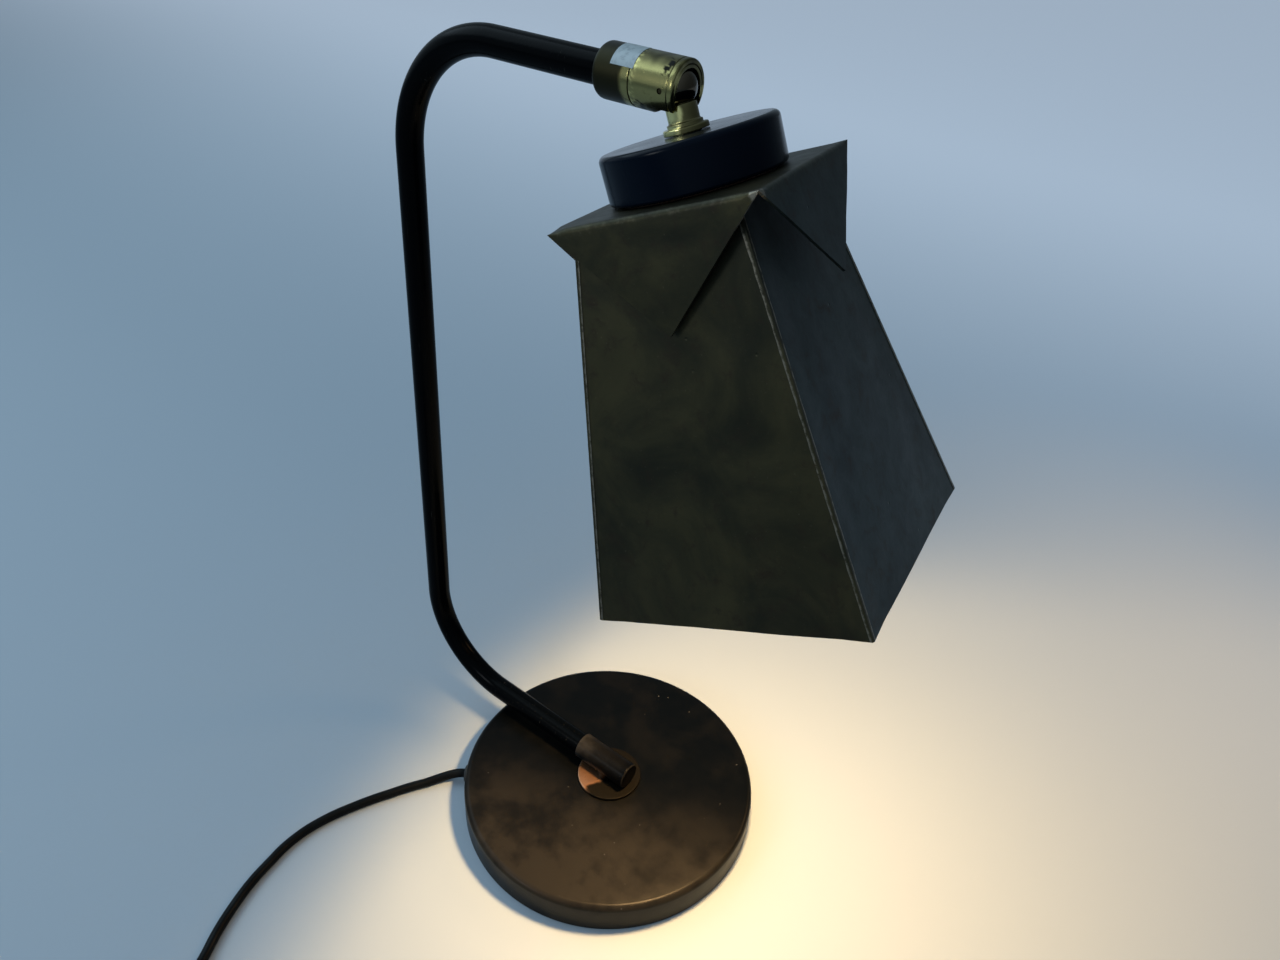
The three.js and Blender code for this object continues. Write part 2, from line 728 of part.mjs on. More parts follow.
const housingBoreR = BALL_R + BALL_FIT;
const jointR = housingBoreR + HOUSING_WALL;
const lipStart = MOUTH_REACH - MOUTH_LIP_T;
const lipR = Math.sqrt(BALL_R ** 2 - lipStart ** 2) + MOUTH_LIP_FIT;
const slotHalf = NECK_R + SLOT_FIT;
const spigotR = housingBoreR - GAP;
const spigotBoreR = spigotR - SPIGOT_WALL;
const neckTop = BALL_FLAT + GAP;

// Its +X is the arm's direction and its origin is the ball's centre.
const joint = group(lamp);
joint.position.copy(ballCentre);
joint.rotation.x = rad(TURN);

function jointHousing() {
  const body = turnedX(
    [
      [housingBoreR, -housingBack],
      [jointR, -housingBack],
      [jointR, MOUTH_REACH - RIM_ROUND],
      [jointR - 0.3 * RIM_ROUND, MOUTH_REACH - 0.3 * RIM_ROUND],
      [jointR - RIM_ROUND, MOUTH_REACH],
      [lipR, MOUTH_REACH],
      [lipR, lipStart],
      [housingBoreR, lipStart - MOUTH_LIP_SLOPE],
    ],
    36,
  );
  const slotEnd = rod(slotHalf, -2 * jointR, 0);
  const slot = box([0, -slotHalf, -2 * jointR], [MOUTH_REACH + 1, slotHalf, 0]);
  const screwHole = rod(SIDE_SCREW_R + GAP, 0, 2 * jointR, 12).rotate([90, 0, 0]);
  return cut(body, slotEnd, slot, screwHole);
}

function jointCollar() {
  const chamberR = Math.min(spigotR, jointR - HOUSING_WALL);
  return turnedX(
    [
      [TUBE_R + GAP, -jointBack],
      [jointR - RIM_ROUND, -jointBack],
      [jointR, -jointBack + RIM_ROUND],
      [jointR, -collarFront],
      [spigotR, -collarFront],
      [spigotR, -spigotFront],
      [spigotBoreR, -spigotFront],
      [spigotBoreR, -collarFront],
      [chamberR - SPIGOT_WALL, -collarFront],
      [chamberR - SPIGOT_WALL, -lockChamberBack],
      [END_NIPPLE_R + HOLE_FIT, -lockChamberBack],
      [END_NIPPLE_R + HOLE_FIT, -tubeSeatFront],
      [TUBE_R + GAP, -tubeSeatFront],
    ],
    36,
  );
}

function endNipple() {
  const back = jointBack + END_NIPPLE_INSERT;
  return turnedX(ring(END_NIPPLE_BORE_R, END_NIPPLE_R, -back, -endNippleFront));
}

function lockRing() {
  const back = lockChamberBack - GAP;
  const bore = END_NIPPLE_R + GAP;
  return turnedX(ring(bore, bore + LOCK_RING_WALL - GAP, -back, -back + LOCK_RING_T));
}

function frictionSpring() {
  const seat = { from: -(spigotFront - GAP), to: -(cupBack + GAP) };
  const meanR = spigotBoreR + SPIGOT_WALL / 2 - SPRING_WIRE_R / 2;
  const steps = Math.ceil(14 * SPRING_TURNS);
  const run = seat.to - seat.from - 2 * SPRING_WIRE_R;
  const stations = Array.from({ length: steps + 1 }, (_, i) => {
    const angle = (2 * Math.PI * SPRING_TURNS * i) / steps;
    const x = seat.from + SPRING_WIRE_R + (run * i) / steps;
    return new THREE.Vector3(x, meanR * Math.cos(angle), meanR * Math.sin(angle));
  });
  return swept(stations, SPRING_WIRE_R, 6);
}

function frictionCup() {
  const cupR = housingBoreR - GAP;
  const blank = turnedX(ring(CUP_BORE_R, cupR, -cupBack, -cupFront));
  return cut(blank, sphere(BALL_R + GAP, 28));
}

// A grub screw in the housing's side, on the cross axis of the ball.
function sideScrew() {
  return rod(SIDE_SCREW_R, housingBoreR, jointR - SIDE_SCREW_SINK, 12).rotate([90, 0, 0]);
}

piece("joint_collar", jointCollar(), darkBrass(), joint);
piece("joint_housing", jointHousing(), brass(), joint);
piece("side_screw", sideScrew(), darkBrass(), joint);
piece("friction_spring", frictionSpring(), steel(), joint);
piece("friction_cup", frictionCup(), brass(), joint);

// The arm's own pieces at the joint don't turn with it.
const armEnd = group(lamp);
armEnd.position.copy(ballCentre);
piece("arm_end_nipple", endNipple(), steel(), armEnd);
piece("lock_ring", lockRing(), steel(), armEnd);

// ---------------------------------------------------------------- ball and neck

const ballMount = group(joint);
ballMount.rotation.y = -rad(TILT);
const head = group(ballMount);
head.rotation.z = rad(SPIN);

function ball() {
  const flat = box([-BALL_R, -BALL_R, -2 * BALL_R], [BALL_R, BALL_R, -BALL_FLAT]);
  const bore = rod(NECK_SPIGOT_R + GAP, -2 * BALL_R, NECK_SPIGOT - neckTop + GAP);
  const wireSlot = turnedX(ring(0, NECK_BORE_R, -2 * BALL_R, 0));
  return cut(sphere(BALL_R, 28), flat, bore, wireSlot);
}

const flangeTop = CAP_DROP - GAP - FLANGE_T;
const ringTop = flangeTop - NECK_RING_T;
const capTop = CAP_DROP;
const capFoot = capTop + CAP_H;
const crownTop = capFoot + CAP_STAND;
const tabTop = crownTop + SHEET_T + GAP;
const discTop = tabTop + SHEET_T + GAP;
const neckNutTop = discTop + CLAMP_DISC_T + GAP;
const neckEnd = neckNutTop + NECK_NUT_H + NECK_TAIL;
const neckHoleR = NIPPLE_R + HOLE_FIT;

function neck() {
  const spigotEnd = neckTop - NECK_SPIGOT;
  return turnedDown(
    [
      [NECK_BORE_R, spigotEnd],
      [NECK_SPIGOT_R, spigotEnd],
      [NECK_SPIGOT_R, neckTop],
      [NECK_R, neckTop],
      [NECK_R, ringTop - NECK_FLARE],
      [NECK_ROOT_R, ringTop],
      [NECK_RING_R - 0.4, ringTop],
      [NECK_RING_R, ringTop + NECK_RING_T / 2],
      [NECK_RING_R - 0.4, flangeTop],
      [FLANGE_R - 0.6, flangeTop],
      [FLANGE_R, flangeTop + 0.6],
      [FLANGE_R, flangeTop + FLANGE_T],
      [NIPPLE_R, flangeTop + FLANGE_T],
      [NIPPLE_R, neckEnd],
      [NECK_BORE_R, neckEnd],
    ],
    28,
  );
}

piece("ball", ball(), darkBrass(), ballMount);
piece("neck", neck(), brass(), head);

// ---------------------------------------------------------------- cap and crown plate

function cap() {
  const topRound = arc(CAP_R - CAP_ROUND, -capTop - CAP_ROUND, CAP_ROUND, 90, 0);
  const footRound = arc(CAP_R - CAP_FOOT_ROUND, -capFoot + CAP_FOOT_ROUND, CAP_FOOT_ROUND, 0, -90, 3);
  return turned([
    [neckHoleR, -capTop],
    ...topRound,
    ...footRound,
    [CAP_R - CAP_WALL, -capFoot],
    [CAP_R - CAP_WALL, -capTop - CAP_TOP_T],
    [neckHoleR, -capTop - CAP_TOP_T],
  ]);
}

function capRing() {
  const outer = CAP_R - CAP_WALL - GAP;
  const foot = crownTop - GAP;
  return turnedDown(ring(outer - CAP_RING_WALL, outer, foot - CAP_RING_H, foot));
}

// The shade's outline at a drop below the ball: half its side, and its centre.
function shadeOutline(drop) {
  const t = (drop - tabTop) / SHADE_LENGTH;
  return {
    half: THREE.MathUtils.lerp(SHADE_TOP_SIDE, SHADE_BOTTOM_SIDE, t) / 2,
    x: THREE.MathUtils.lerp(SHADE_TOP_SHIFT.x, SHADE_BOTTOM_SHIFT.x, t),
    y: THREE.MathUtils.lerp(SHADE_TOP_SHIFT.y, SHADE_BOTTOM_SHIFT.y, t),
  };
}

// The head's four sides in turn. The first one faces +X, and each has its own flap of the crown plate.
const HEAD_SIDES = ["right", "back", "left", "front"];
const FLAPS = [RIGHT_FLAP, BACK_FLAP, LEFT_FLAP, FRONT_FLAP];
const sideTurn = (side) => (HEAD_SIDES.indexOf(side) * 360) / HEAD_SIDES.length;

// How far the shade's face lies from the neck's axis, towards one side.
function faceReach(side, drop) {
  const outline = shadeOutline(drop);
  const angle = rad(sideTurn(side));
  return outline.half + outline.x * Math.cos(angle) + outline.y * Math.sin(angle);
}

function crownFlap(side) {
  const { length, lift } = FLAPS[HEAD_SIDES.indexOf(side)];
  const half = CROWN_SIDE / 2;
  const tipReach = faceReach(side, crownTop + length) + lift + SHEET_T;
  const splay = Math.asin((tipReach - half) / length);
  const triangle = new THREE.Shape();
  triangle.moveTo(-half, 0);
  triangle.lineTo(0, -length);
  triangle.lineTo(half, 0);
  const sheet = new THREE.ExtrudeGeometry(triangle, { depth: SHEET_T, bevelEnabled: false });
  // Drawn in XY with its fold on X, then stood up on the +X side of the head.
  sheet.translate(0, 0, -SHEET_T).rotateX(Math.PI / 2).rotateZ(Math.PI / 2);
  sheet.rotateY(-splay).translate(half, 0, -crownTop);
  return solidOf(sheet).rotate([0, 0, sideTurn(side)]);
}

function crownPlate() {
  const half = CROWN_SIDE / 2;
  const plate = box([-half, -half, -crownTop - SHEET_T], [half, half, -crownTop]);
  const neckHole = rod(neckHoleR, -crownTop - 2 * SHEET_T, -crownTop + 1);
  return cut(join(plate, ...HEAD_SIDES.map(crownFlap)), neckHole);
}

piece("cap", cap(), navyGloss(), head);
piece("cap_ring", capRing(), fibre(), head);
piece("crown_plate", crownPlate(), patina(), head);

// ---------------------------------------------------------------- shade

// One panel of the shade with its tab, mitred to its neighbours along the corners.
function shadePanel(side) {
  const turn = sideTurn(side);
  const corner = (drop, inset, end, across = 0) => {
    const outline = shadeOutline(drop);
    const centre = new THREE.Vector2(outline.x, outline.y).rotateAround(new THREE.Vector2(), -rad(turn));
    const reach = outline.half - inset;
    return [centre.x + reach - across, centre.y + end * (reach - SHADE_SEAM - across), -drop];
  };
  const top = tabTop;
  const foot = tabTop + SHADE_LENGTH;
  const sheet = hexahedron([
    corner(top, 0, -1),
    corner(top, 0, 1),
    corner(top, SHEET_T, 1),
    corner(top, SHEET_T, -1),
    corner(foot, 0, -1),
    corner(foot, 0, 1),
    corner(foot, SHEET_T, 1),
    corner(foot, SHEET_T, -1),
  ]);
  const tabInset = SHEET_T / 2;
  const tab = hexahedron([
    corner(top, tabInset, -1),
    corner(top, tabInset, 1),
    corner(top, tabInset, 1, SHADE_TAB),
    corner(top, tabInset, -1, SHADE_TAB),
    corner(top + SHEET_T, tabInset, -1),
    corner(top + SHEET_T, tabInset, 1),
    corner(top + SHEET_T, tabInset, 1, SHADE_TAB),
    corner(top + SHEET_T, tabInset, -1, SHADE_TAB),
  ]);
  return join(sheet, tab).rotate([0, 0, turn]);
}

for (const side of HEAD_SIDES) {
  piece(`shade_panel_${side}`, shadePanel(side), patina(), head);
}

// ---------------------------------------------------------------- clamp, lampholder and bulb

const holderTop = neckNutTop + NECK_NUT_H + GAP;
const skirtTop = holderTop + HOLDER_DOME_H;
const skirtFoot = skirtTop + HOLDER_SKIRT_H;
const insertTop = skirtTop + GAP;
const socketTop = insertTop + INSERT_T + GAP;
const contactFoot = socketTop + CONTACT_T;
const bulbTipTop = contactFoot + GAP;
const bulbCapTop = bulbTipTop + BULB_TIP_H + GAP;
const glassTop = bulbCapTop + BULB_CAP_H + GAP;
const bulbCentre = glassTop + BULB_NECK_H + BULB_R * Math.sin(rad(BULB_SHOULDER));
const socketBoreR = BULB_CAP_R + HOLE_FIT;
const skirtBoreR = HOLDER_R - HOLDER_WALL;

function holderCap() {
  return turnedDown(
    [
      [neckHoleR, holderTop],
      [neckHoleR + 3, holderTop],
      [HOLDER_R - 1.5, holderTop + HOLDER_DOME_H / 2],
      [HOLDER_R, holderTop + HOLDER_DOME_H / 2 + 2],
      [HOLDER_R, skirtTop - GAP],
      [skirtBoreR, skirtTop - GAP],
      [skirtBoreR, holderTop + HOLDER_DOME_H / 2 + 2],
      [neckHoleR + 1.5, holderTop + HOLDER_WALL + 1.5],
      [neckHoleR, holderTop + HOLDER_WALL + 1.5],
    ],
    28,
  );
}

function holderSkirt() {
  return turnedDown(
    [
      [skirtBoreR, skirtTop],
      [HOLDER_R, skirtTop],
      [HOLDER_R, skirtFoot - 1],
      [HOLDER_R - 0.5, skirtFoot],
      [skirtBoreR, skirtFoot],
    ],
    28,
  );
}

function holderInsert() {
  const disc = turnedDown(ring(NECK_BORE_R, skirtBoreR - GAP, insertTop, insertTop + INSERT_T), 28);
  return disc;
}

function socketShell() {
  return turnedDown(ring(socketBoreR, socketBoreR + SOCKET_WALL, socketTop, socketTop + SOCKET_H));
}

function bulbGlass() {
  const profile = (inset) => [
    [BULB_CAP_R - GAP - inset, glassTop],
    [BULB_NECK_R - inset, glassTop + BULB_NECK_H / 2],
    ...arc(0, bulbCentre, BULB_R - inset, -BULB_SHOULDER, 90, 9).map(([r, drop]) => [Math.max(r, 0), drop]),
  ];
  return turnedDown([...profile(0), ...profile(GLASS_T).reverse()], 28);
}

function headWire() {
  return rod(NECK_BORE_R - GAP, -insertTop + GAP, -1.5, 10);
}

const discOutline = ring(neckHoleR, CLAMP_DISC_R, discTop, discTop + CLAMP_DISC_T);
const neckNut = hexNut(NUT_FLATS, neckHoleR, -neckNutTop - NECK_NUT_H, -neckNutTop);
const bulbCapOutline = ring(0, BULB_CAP_R, bulbCapTop, bulbCapTop + BULB_CAP_H);
const bulbTipOutline = ring(0, BULB_TIP_R, bulbTipTop, bulbTipTop + BULB_TIP_H);

piece("clamp_disc", turnedDown(discOutline), steel(), head);
piece("neck_nut", neckNut, brass(), head);
piece("holder_cap", holderCap(), blackPlastic(), head);
piece("holder_skirt", holderSkirt(), blackPlastic(), head);
piece("holder_insert", holderInsert(), ceramic(), head);
piece("socket_shell", socketShell(), brass(), head);
piece("centre_contact", rod(CONTACT_R, -contactFoot, -socketTop, 16), brass(), head);
piece("bulb_tip", turnedDown(bulbTipOutline, 16), blackPlastic(), head);
piece("bulb_cap", turnedDown(bulbCapOutline), steel(), head);
piece("bulb_glass", bulbGlass(), opalGlass(), head);
piece("head_wire", headWire(), blackPlastic(), head);

// ---------------------------------------------------------------- cord's fittings in the foot

function clampScrewPlaces() {
  const x = clampOuter - CLAMP_LENGTH / 2;
  const y = (CLAMP_WIDTH / 2 + CORD_R + GAP) / 2;
  return [
    [x, y],
    [x, -y],
  ];
}

function grommet() {
  const flange = ring(0, GROMMET_FLANGE_R, BASE_R + GAP, BASE_R + GAP + GROMMET_FLANGE_T);
  const barrel = ring(0, GROMMET_R, BASE_R - SHELL_WALL - 1.2, BASE_R + 2 * GAP);
  const bore = ring(0, CORD_R + GAP, BASE_R - 8, BASE_R + 8);
  const solid = cut(join(turnedX(flange), turnedX(barrel)), turnedX(bore));
  return solid.translate([0, 0, CORD_EXIT_Z]);
}

function innerLead() {
  const start = blockStart + BLOCK_LENGTH + GAP;
  const outline = ring(0, CORD_R, start, cordStart - GAP);
  return turnedX(outline, 12).translate([0, 0, CORD_EXIT_Z]);
}

function cordClamp() {
  const half = CLAMP_WIDTH / 2;
  const body = box([clampInner, -half, weightLow + 0.2], [clampOuter, half, pocketTop - GAP]);
  const bore = turnedX(ring(0, CORD_R + GAP, clampInner - 1, clampOuter + 1));
  const screwHoles = clampScrewPlaces().map(([x, y]) =>
    rod(CLAMP_SCREW_R + GAP, weightLow - 1, pocketTop + 1, 10).translate([x, y, 0]),
  );
  return cut(body, bore.translate([0, 0, CORD_EXIT_Z]), ...screwHoles);
}

function terminalBlock() {
  const half = BLOCK_WIDTH / 2;
  return box([blockStart, -half, weightLow], [blockStart + BLOCK_LENGTH, half, weightLow + BLOCK_H]);
}

piece("cord_grommet", grommet(), darkRubber(), cordSide);
piece("inner_lead", innerLead(), blackPlastic(), cordSide);
piece("cord_clamp", cordClamp(), blackPlastic(), cordSide);
clampScrewPlaces().forEach(([x, y], i) => {
  const screw = rod(CLAMP_SCREW_R, weightLow + 0.4, pocketTop + CLAMP_SCREW_BITE, 10);
  piece(`clamp_screw_${i + 1}`, screw.translate([x, y, 0]), steel(), cordSide);
});
piece("terminal_block", terminalBlock(), ceramic(), cordSide);
piece("foot_sleeve", footSleeve(), blackLacquer());
piece("arm_tube", armTube(), blackLacquer());
piece("arm_wire", armWire(), blackPlastic());

// ---------------------------------------------------------------- cord switch

const switchGroup = group(lamp);
switchGroup.position.set(SWITCH_CENTRE.x, SWITCH_CENTRE.y, 0);
switchGroup.rotation.z = rad(SWITCH_HEADING);
const switchTop = SWITCH_BASE_H + GAP + SWITCH_COVER_H;
const cordPortZ = SWITCH_BASE_H + GAP / 2;
const rockerAxisZ = switchTop - SWITCH_WALL - ROCKER_PIN_R - 0.6;

const switchShape = (inset) =>
  roundedRectangle(SWITCH_LENGTH - 2 * inset, SWITCH_WIDTH - 2 * inset, SWITCH_CORNER_R - inset);
const switchHollow = (low, high) => slab(switchShape(SWITCH_WALL), low, high);

const switchPorts = turnedX(ring(0, CORD_R + GAP, -SWITCH_LENGTH, SWITCH_LENGTH), 16);

function switchBase() {
  const shell = cut(slab(switchShape(0), 0, SWITCH_BASE_H), switchHollow(SWITCH_WALL, SWITCH_BASE_H + 1));
  return cut(shell, switchPorts.translate([0, 0, cordPortZ]));
}

function switchCover() {
  const low = SWITCH_BASE_H + GAP;
  const hollow = switchHollow(low - 1, switchTop - SWITCH_WALL);
  const shell = cut(slab(switchShape(0), low, switchTop), hollow, switchPorts.translate([0, 0, cordPortZ]));
  const length = ROCKER_LENGTH / 2 + ROCKER_FIT;
  const width = ROCKER_WIDTH / 2 + ROCKER_FIT;
  const window = box([-length, -width, low], [length, width, switchTop + 1]);
  // Two cheeks under the window carry the rocker's pin.
  const cheek = (y) => box([-3, y, rockerAxisZ - 3], [3, y + 1.6, switchTop - SWITCH_WALL / 2]);
  const pinHole = rod(ROCKER_PIN_R + GAP, -SWITCH_WIDTH, SWITCH_WIDTH, 12).rotate([90, 0, 0]);
  const cheeks = join(cheek(width), cheek(-width - 1.6));
  const bored = cut(cheeks, pinHole.translate([0, 0, rockerAxisZ]));
  return join(cut(shell, window), bored);
}

// A rocker with a shallow V top and a pin at each side.
function switchRocker() {
  // Its origin is the pin's axis.
  const [half, top, mid] = [ROCKER_LENGTH / 2, switchTop + ROCKER_RISE, switchTop + 0.8];
  const low = switchTop - ROCKER_DEPTH;
  const side = new THREE.Shape();
  side.moveTo(-half, low + 2.2);
  side.lineTo(-half * 0.5, low);
  side.lineTo(half * 0.5, low);
  side.lineTo(half, low + 2.2);
  side.lineTo(half, top - 0.3);
  side.lineTo(half - 0.8, top);
  side.lineTo(0, mid);
  side.lineTo(-half + 0.8, top);
  side.lineTo(-half, top - 0.3);
  const body = slab(side, -ROCKER_WIDTH / 2, ROCKER_WIDTH / 2).rotate([90, 0, 0]);
  const pinHalf = ROCKER_WIDTH / 2 + ROCKER_FIT + 1.4;
  const pin = rod(ROCKER_PIN_R, -pinHalf, pinHalf, 12).rotate([90, 0, 0]);
  return join(body.translate([0, 0, -rockerAxisZ]), pin);
}

piece("switch_base", switchBase(), blackPlastic(), switchGroup);
piece("switch_cover", switchCover(), blackPlastic(), switchGroup);
const rocker = piece("switch_rocker", switchRocker(), blackPlastic(), switchGroup);
rocker.position.z = rockerAxisZ;
rocker.rotation.y = rad(ROCKER_TILT);

// ---------------------------------------------------------------- plug

const plug = group(lamp);
plug.position.set(PLUG_CENTRE.x, PLUG_CENTRE.y, 0);
plug.rotation.z = rad(PLUG_HEADING);

function plugBody() {
  const back = -PLUG_LENGTH / 2;
  const front = PLUG_LENGTH / 2;
  const half = PLUG_WIDTH / 2;
  const outline = new THREE.Shape();
  outline.moveTo(back, -CORD_R - 2);
  outline.quadraticCurveTo(back + PLUG_TAPER, -half * 0.55, front - PLUG_SQUARE, -half);
  outline.lineTo(front, -half);
  outline.lineTo(front, half);
  outline.lineTo(front - PLUG_SQUARE, half);
  outline.quadraticCurveTo(back + PLUG_TAPER, half * 0.55, back, CORD_R + 2);
  const body = slab(outline, 0, PLUG_H);
  const socket = turnedX(ring(0, PIN_R + GAP, front - PIN_SEAT - GAP, front + 1), 12);
  const sockets = [-1, 1].map((end) => socket.translate([0, (end * PIN_SPACING) / 2, PLUG_H / 2]));
  const cordPort = turnedX(ring(0, CORD_R + GAP, back - 1, back + PORT_DEPTH + GAP), 16);
  return cut(body, ...sockets, cordPort.translate([0, 0, PLUG_H / 2]));
}

function plugPin(end) {
  const front = PLUG_LENGTH / 2;
  const tip = front + PIN_LENGTH;
  const outline = [
    [0, front - PIN_SEAT],
    [PIN_R, front - PIN_SEAT],
    [PIN_R, tip - 1],
    [PIN_R - 0.8, tip],
    [0, tip],
  ];
  return turnedX(outline, 12).translate([0, (end * PIN_SPACING) / 2, PLUG_H / 2]);
}

piece("plug_body", plugBody(), blackPlastic(), plug);
piece("plug_pin_1", plugPin(-1), steel(), plug);
piece("plug_pin_2", plugPin(1), steel(), plug);

// ---------------------------------------------------------------- cord and coil

const coilOuterTurnR = COIL_MEAN_R + ((COIL_COLUMNS - 1) * COIL_PITCH) / 2;
const coilH = (COIL_LAYERS - 1) * COIL_PITCH + 2 * CORD_R;

// The cord runs straight on from the switch and meets the outer turn at its side.
const coilJoin = stepFrom(SWITCH_CENTRE, SWITCH_HEADING, SWITCH_LENGTH / 2 + COIL_APPROACH);
const coilCentre = stepFrom(coilJoin, SWITCH_HEADING + 90, coilOuterTurnR);

function cordCoil() {
  const [inner, outer] = [2 * COIL_MEAN_R - coilOuterTurnR - CORD_R, coilOuterTurnR + CORD_R];
  const outline = [
    ...arc(outer - CORD_R, CORD_R, CORD_R, -90, 0, 3),
    ...arc(outer - CORD_R, coilH - CORD_R, CORD_R, 0, 90, 3),
    ...arc(inner + CORD_R, coilH - CORD_R, CORD_R, 90, 180, 3),
    ...arc(inner + CORD_R, CORD_R, CORD_R, 180, 270, 3),
  ];
  return turned(outline).translate([coilCentre.x, coilCentre.y, 0]);
}

// A cord from one fitting to the next: straight where it enters each of them.
function cordTube(start, points, end = {}) {
  const open = [start.outside, ...points, ...(end.outside ? [end.outside] : [])];
  const free = stationsThrough(open, 5 * CORD_R);
  const last = end.inside ? [new THREE.Vector3(...end.inside)] : [];
  return swept([new THREE.Vector3(...start.inside), ...free, ...last], CORD_R, CORD_SIDES);
}

// Where a cord goes into a fitting that stands at a centre and is turned to a heading. The reach is
// measured from that centre to the cord's cut end.
function port(centre, heading, reach, z) {
  const at = (distance) => {
    const place = stepFrom(centre, heading, distance);
    return [place.x, place.y, z];
  };
  return { inside: at(reach), outside: at(reach + Math.sign(reach) * CORD_IN_PORT) };
}

const footPort = port({ x: 0, y: 0 }, CORD_ANGLE, cordStart, CORD_EXIT_Z);
const switchReach = SWITCH_LENGTH / 2 - PORT_DEPTH;
const switchIn = port(SWITCH_CENTRE, SWITCH_HEADING, -switchReach, cordPortZ);
const switchOut = port(SWITCH_CENTRE, SWITCH_HEADING, switchReach, cordPortZ);
const leavingSwitch = CORD_MIDDLE.map(
  ({ reach, z }) => port(SWITCH_CENTRE, SWITCH_HEADING, SWITCH_LENGTH / 2 + reach, z).inside,
);
const plugPort = port(PLUG_CENTRE, PLUG_HEADING, -PLUG_LENGTH / 2 + PORT_DEPTH, PLUG_H / 2);
const backFromPlug = [...CORD_END].reverse();

piece("cord_to_switch", cordTube(footPort, CORD_START, switchIn), blackPlastic());
piece("cord_to_coil", cordTube(switchOut, leavingSwitch), blackPlastic());
piece("cord_coil", cordCoil(), blackPlastic());
piece("cord_to_plug", cordTube(plugPort, backFromPlug), blackPlastic());

export default lamp;
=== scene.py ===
"""Looks of the desk lamp: its cords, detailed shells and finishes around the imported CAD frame.

Sizes are in millimetres, turned to metres by MM where a mesh is made. The foot's frame is the row frame.
The joint's frame has its X along the arm's end, and the head's frame has its Z up the neck: both start at
the ball's centre.
"""

import json
from math import asin, atan2, ceil, copysign, cos, degrees, exp, hypot, pi, radians, remainder, sin, sqrt
from math import tan, tau

import bmesh
import bpy
from mathutils import Matrix, Vector
from mathutils.noise import noise


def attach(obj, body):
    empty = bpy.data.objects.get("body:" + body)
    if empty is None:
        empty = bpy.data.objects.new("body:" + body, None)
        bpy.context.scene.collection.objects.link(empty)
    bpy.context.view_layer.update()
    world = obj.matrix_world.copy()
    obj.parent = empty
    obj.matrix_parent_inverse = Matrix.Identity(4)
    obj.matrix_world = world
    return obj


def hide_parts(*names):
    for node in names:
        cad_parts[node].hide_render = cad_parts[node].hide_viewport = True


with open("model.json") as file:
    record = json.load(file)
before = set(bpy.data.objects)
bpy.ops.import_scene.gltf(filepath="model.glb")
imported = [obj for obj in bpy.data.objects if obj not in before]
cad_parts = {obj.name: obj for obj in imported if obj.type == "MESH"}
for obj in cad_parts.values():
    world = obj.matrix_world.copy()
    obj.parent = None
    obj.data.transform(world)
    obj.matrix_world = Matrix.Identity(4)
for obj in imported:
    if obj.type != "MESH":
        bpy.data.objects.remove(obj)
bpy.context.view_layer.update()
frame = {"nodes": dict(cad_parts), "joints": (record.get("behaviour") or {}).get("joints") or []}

MM = 0.001

# ---- sizes shared by several pieces

BALL = Vector(next(joint["pos_m"] for joint in frame["joints"] if joint["name"] == "joint_turn")) / MM
TURN, TILT, SPIN = (radians(angle) for angle in (1.5, 22.2, 9.3))

BALL_R = 7.25
JOINT_R = 9.6
JOINT_BORE_R = 7.7
NECK_R = 5.5
SLOT_HALF = 7.0
CROWN_HALF = 40
CROWN_TOP = 32.7  # drop from the ball's centre
SHADE_TOP = 34.0
SHADE_LENGTH = 145.3
SHADE_TOP_HALF = 30.6
SHADE_BOTTOM_HALF = 55.1
SHADE_TOP_SHIFT = (-1.0, -4.0)
SHADE_BOTTOM_SHIFT = (-0.8, -0.7)
SHEET_T = 1.0
TUBE_R = 6.0
THREAD_HOLE_R = 5.3  # in what the M10 threads pass through
CORD_R = 2.5
CORD_HOLE_R = CORD_R + 0.3


def turn(angle, axis):
    return Matrix.Rotation(angle, 4, axis)


def assign(thing, **values):
    for name, value in values.items():
        setattr(thing, name, value)
    return thing


def new_object(name, data, **settings):
    made = assign(bpy.data.objects.new(name, data), **settings)
    bpy.context.scene.collection.objects.link(made)
    return made


FOOT = Matrix.Identity(4)
ALONG_X = turn(pi / 2, "Y")  # takes a lathe's Z axis to X
JOINT = Matrix.Translation(BALL) @ turn(TURN, "X")
HEAD = JOINT @ turn(-TILT, "Y") @ turn(SPIN, "Z")
HEAD_DOWN = HEAD @ Matrix.Diagonal((1, 1, -1, 1))  # heights are drops below the ball's centre

# ---- camera

FOCAL_SHARE = 956.06 / 1280  # focal length over the picture's width
SENSOR = 36.0
CAMERA_PLACE = Vector((202.44, -274.79, 462.68)) * MM
CAMERA_HEADING, CAMERA_PITCH, CAMERA_ROLL = (radians(a) for a in (-35.48, 35.25, 4.12))


def make_camera():
    """A camera whose heading runs clockwise from +Y, pitched down and rolled."""
    lens = SENSOR * FOCAL_SHARE
    data = assign(bpy.data.cameras.new("camera"), sensor_width=SENSOR, lens=lens, clip_start=0.01)
    aim = turn(-CAMERA_HEADING, "Z") @ turn(pi / 2 - CAMERA_PITCH, "X") @ turn(CAMERA_ROLL, "Z")
    placed = Matrix.Translation(CAMERA_PLACE) @ aim
    bpy.context.scene.camera = new_object("camera", data, matrix_world=placed)


make_camera()

# ---- finishes

BULB_GLOW = 5.0
FINISHES = {}


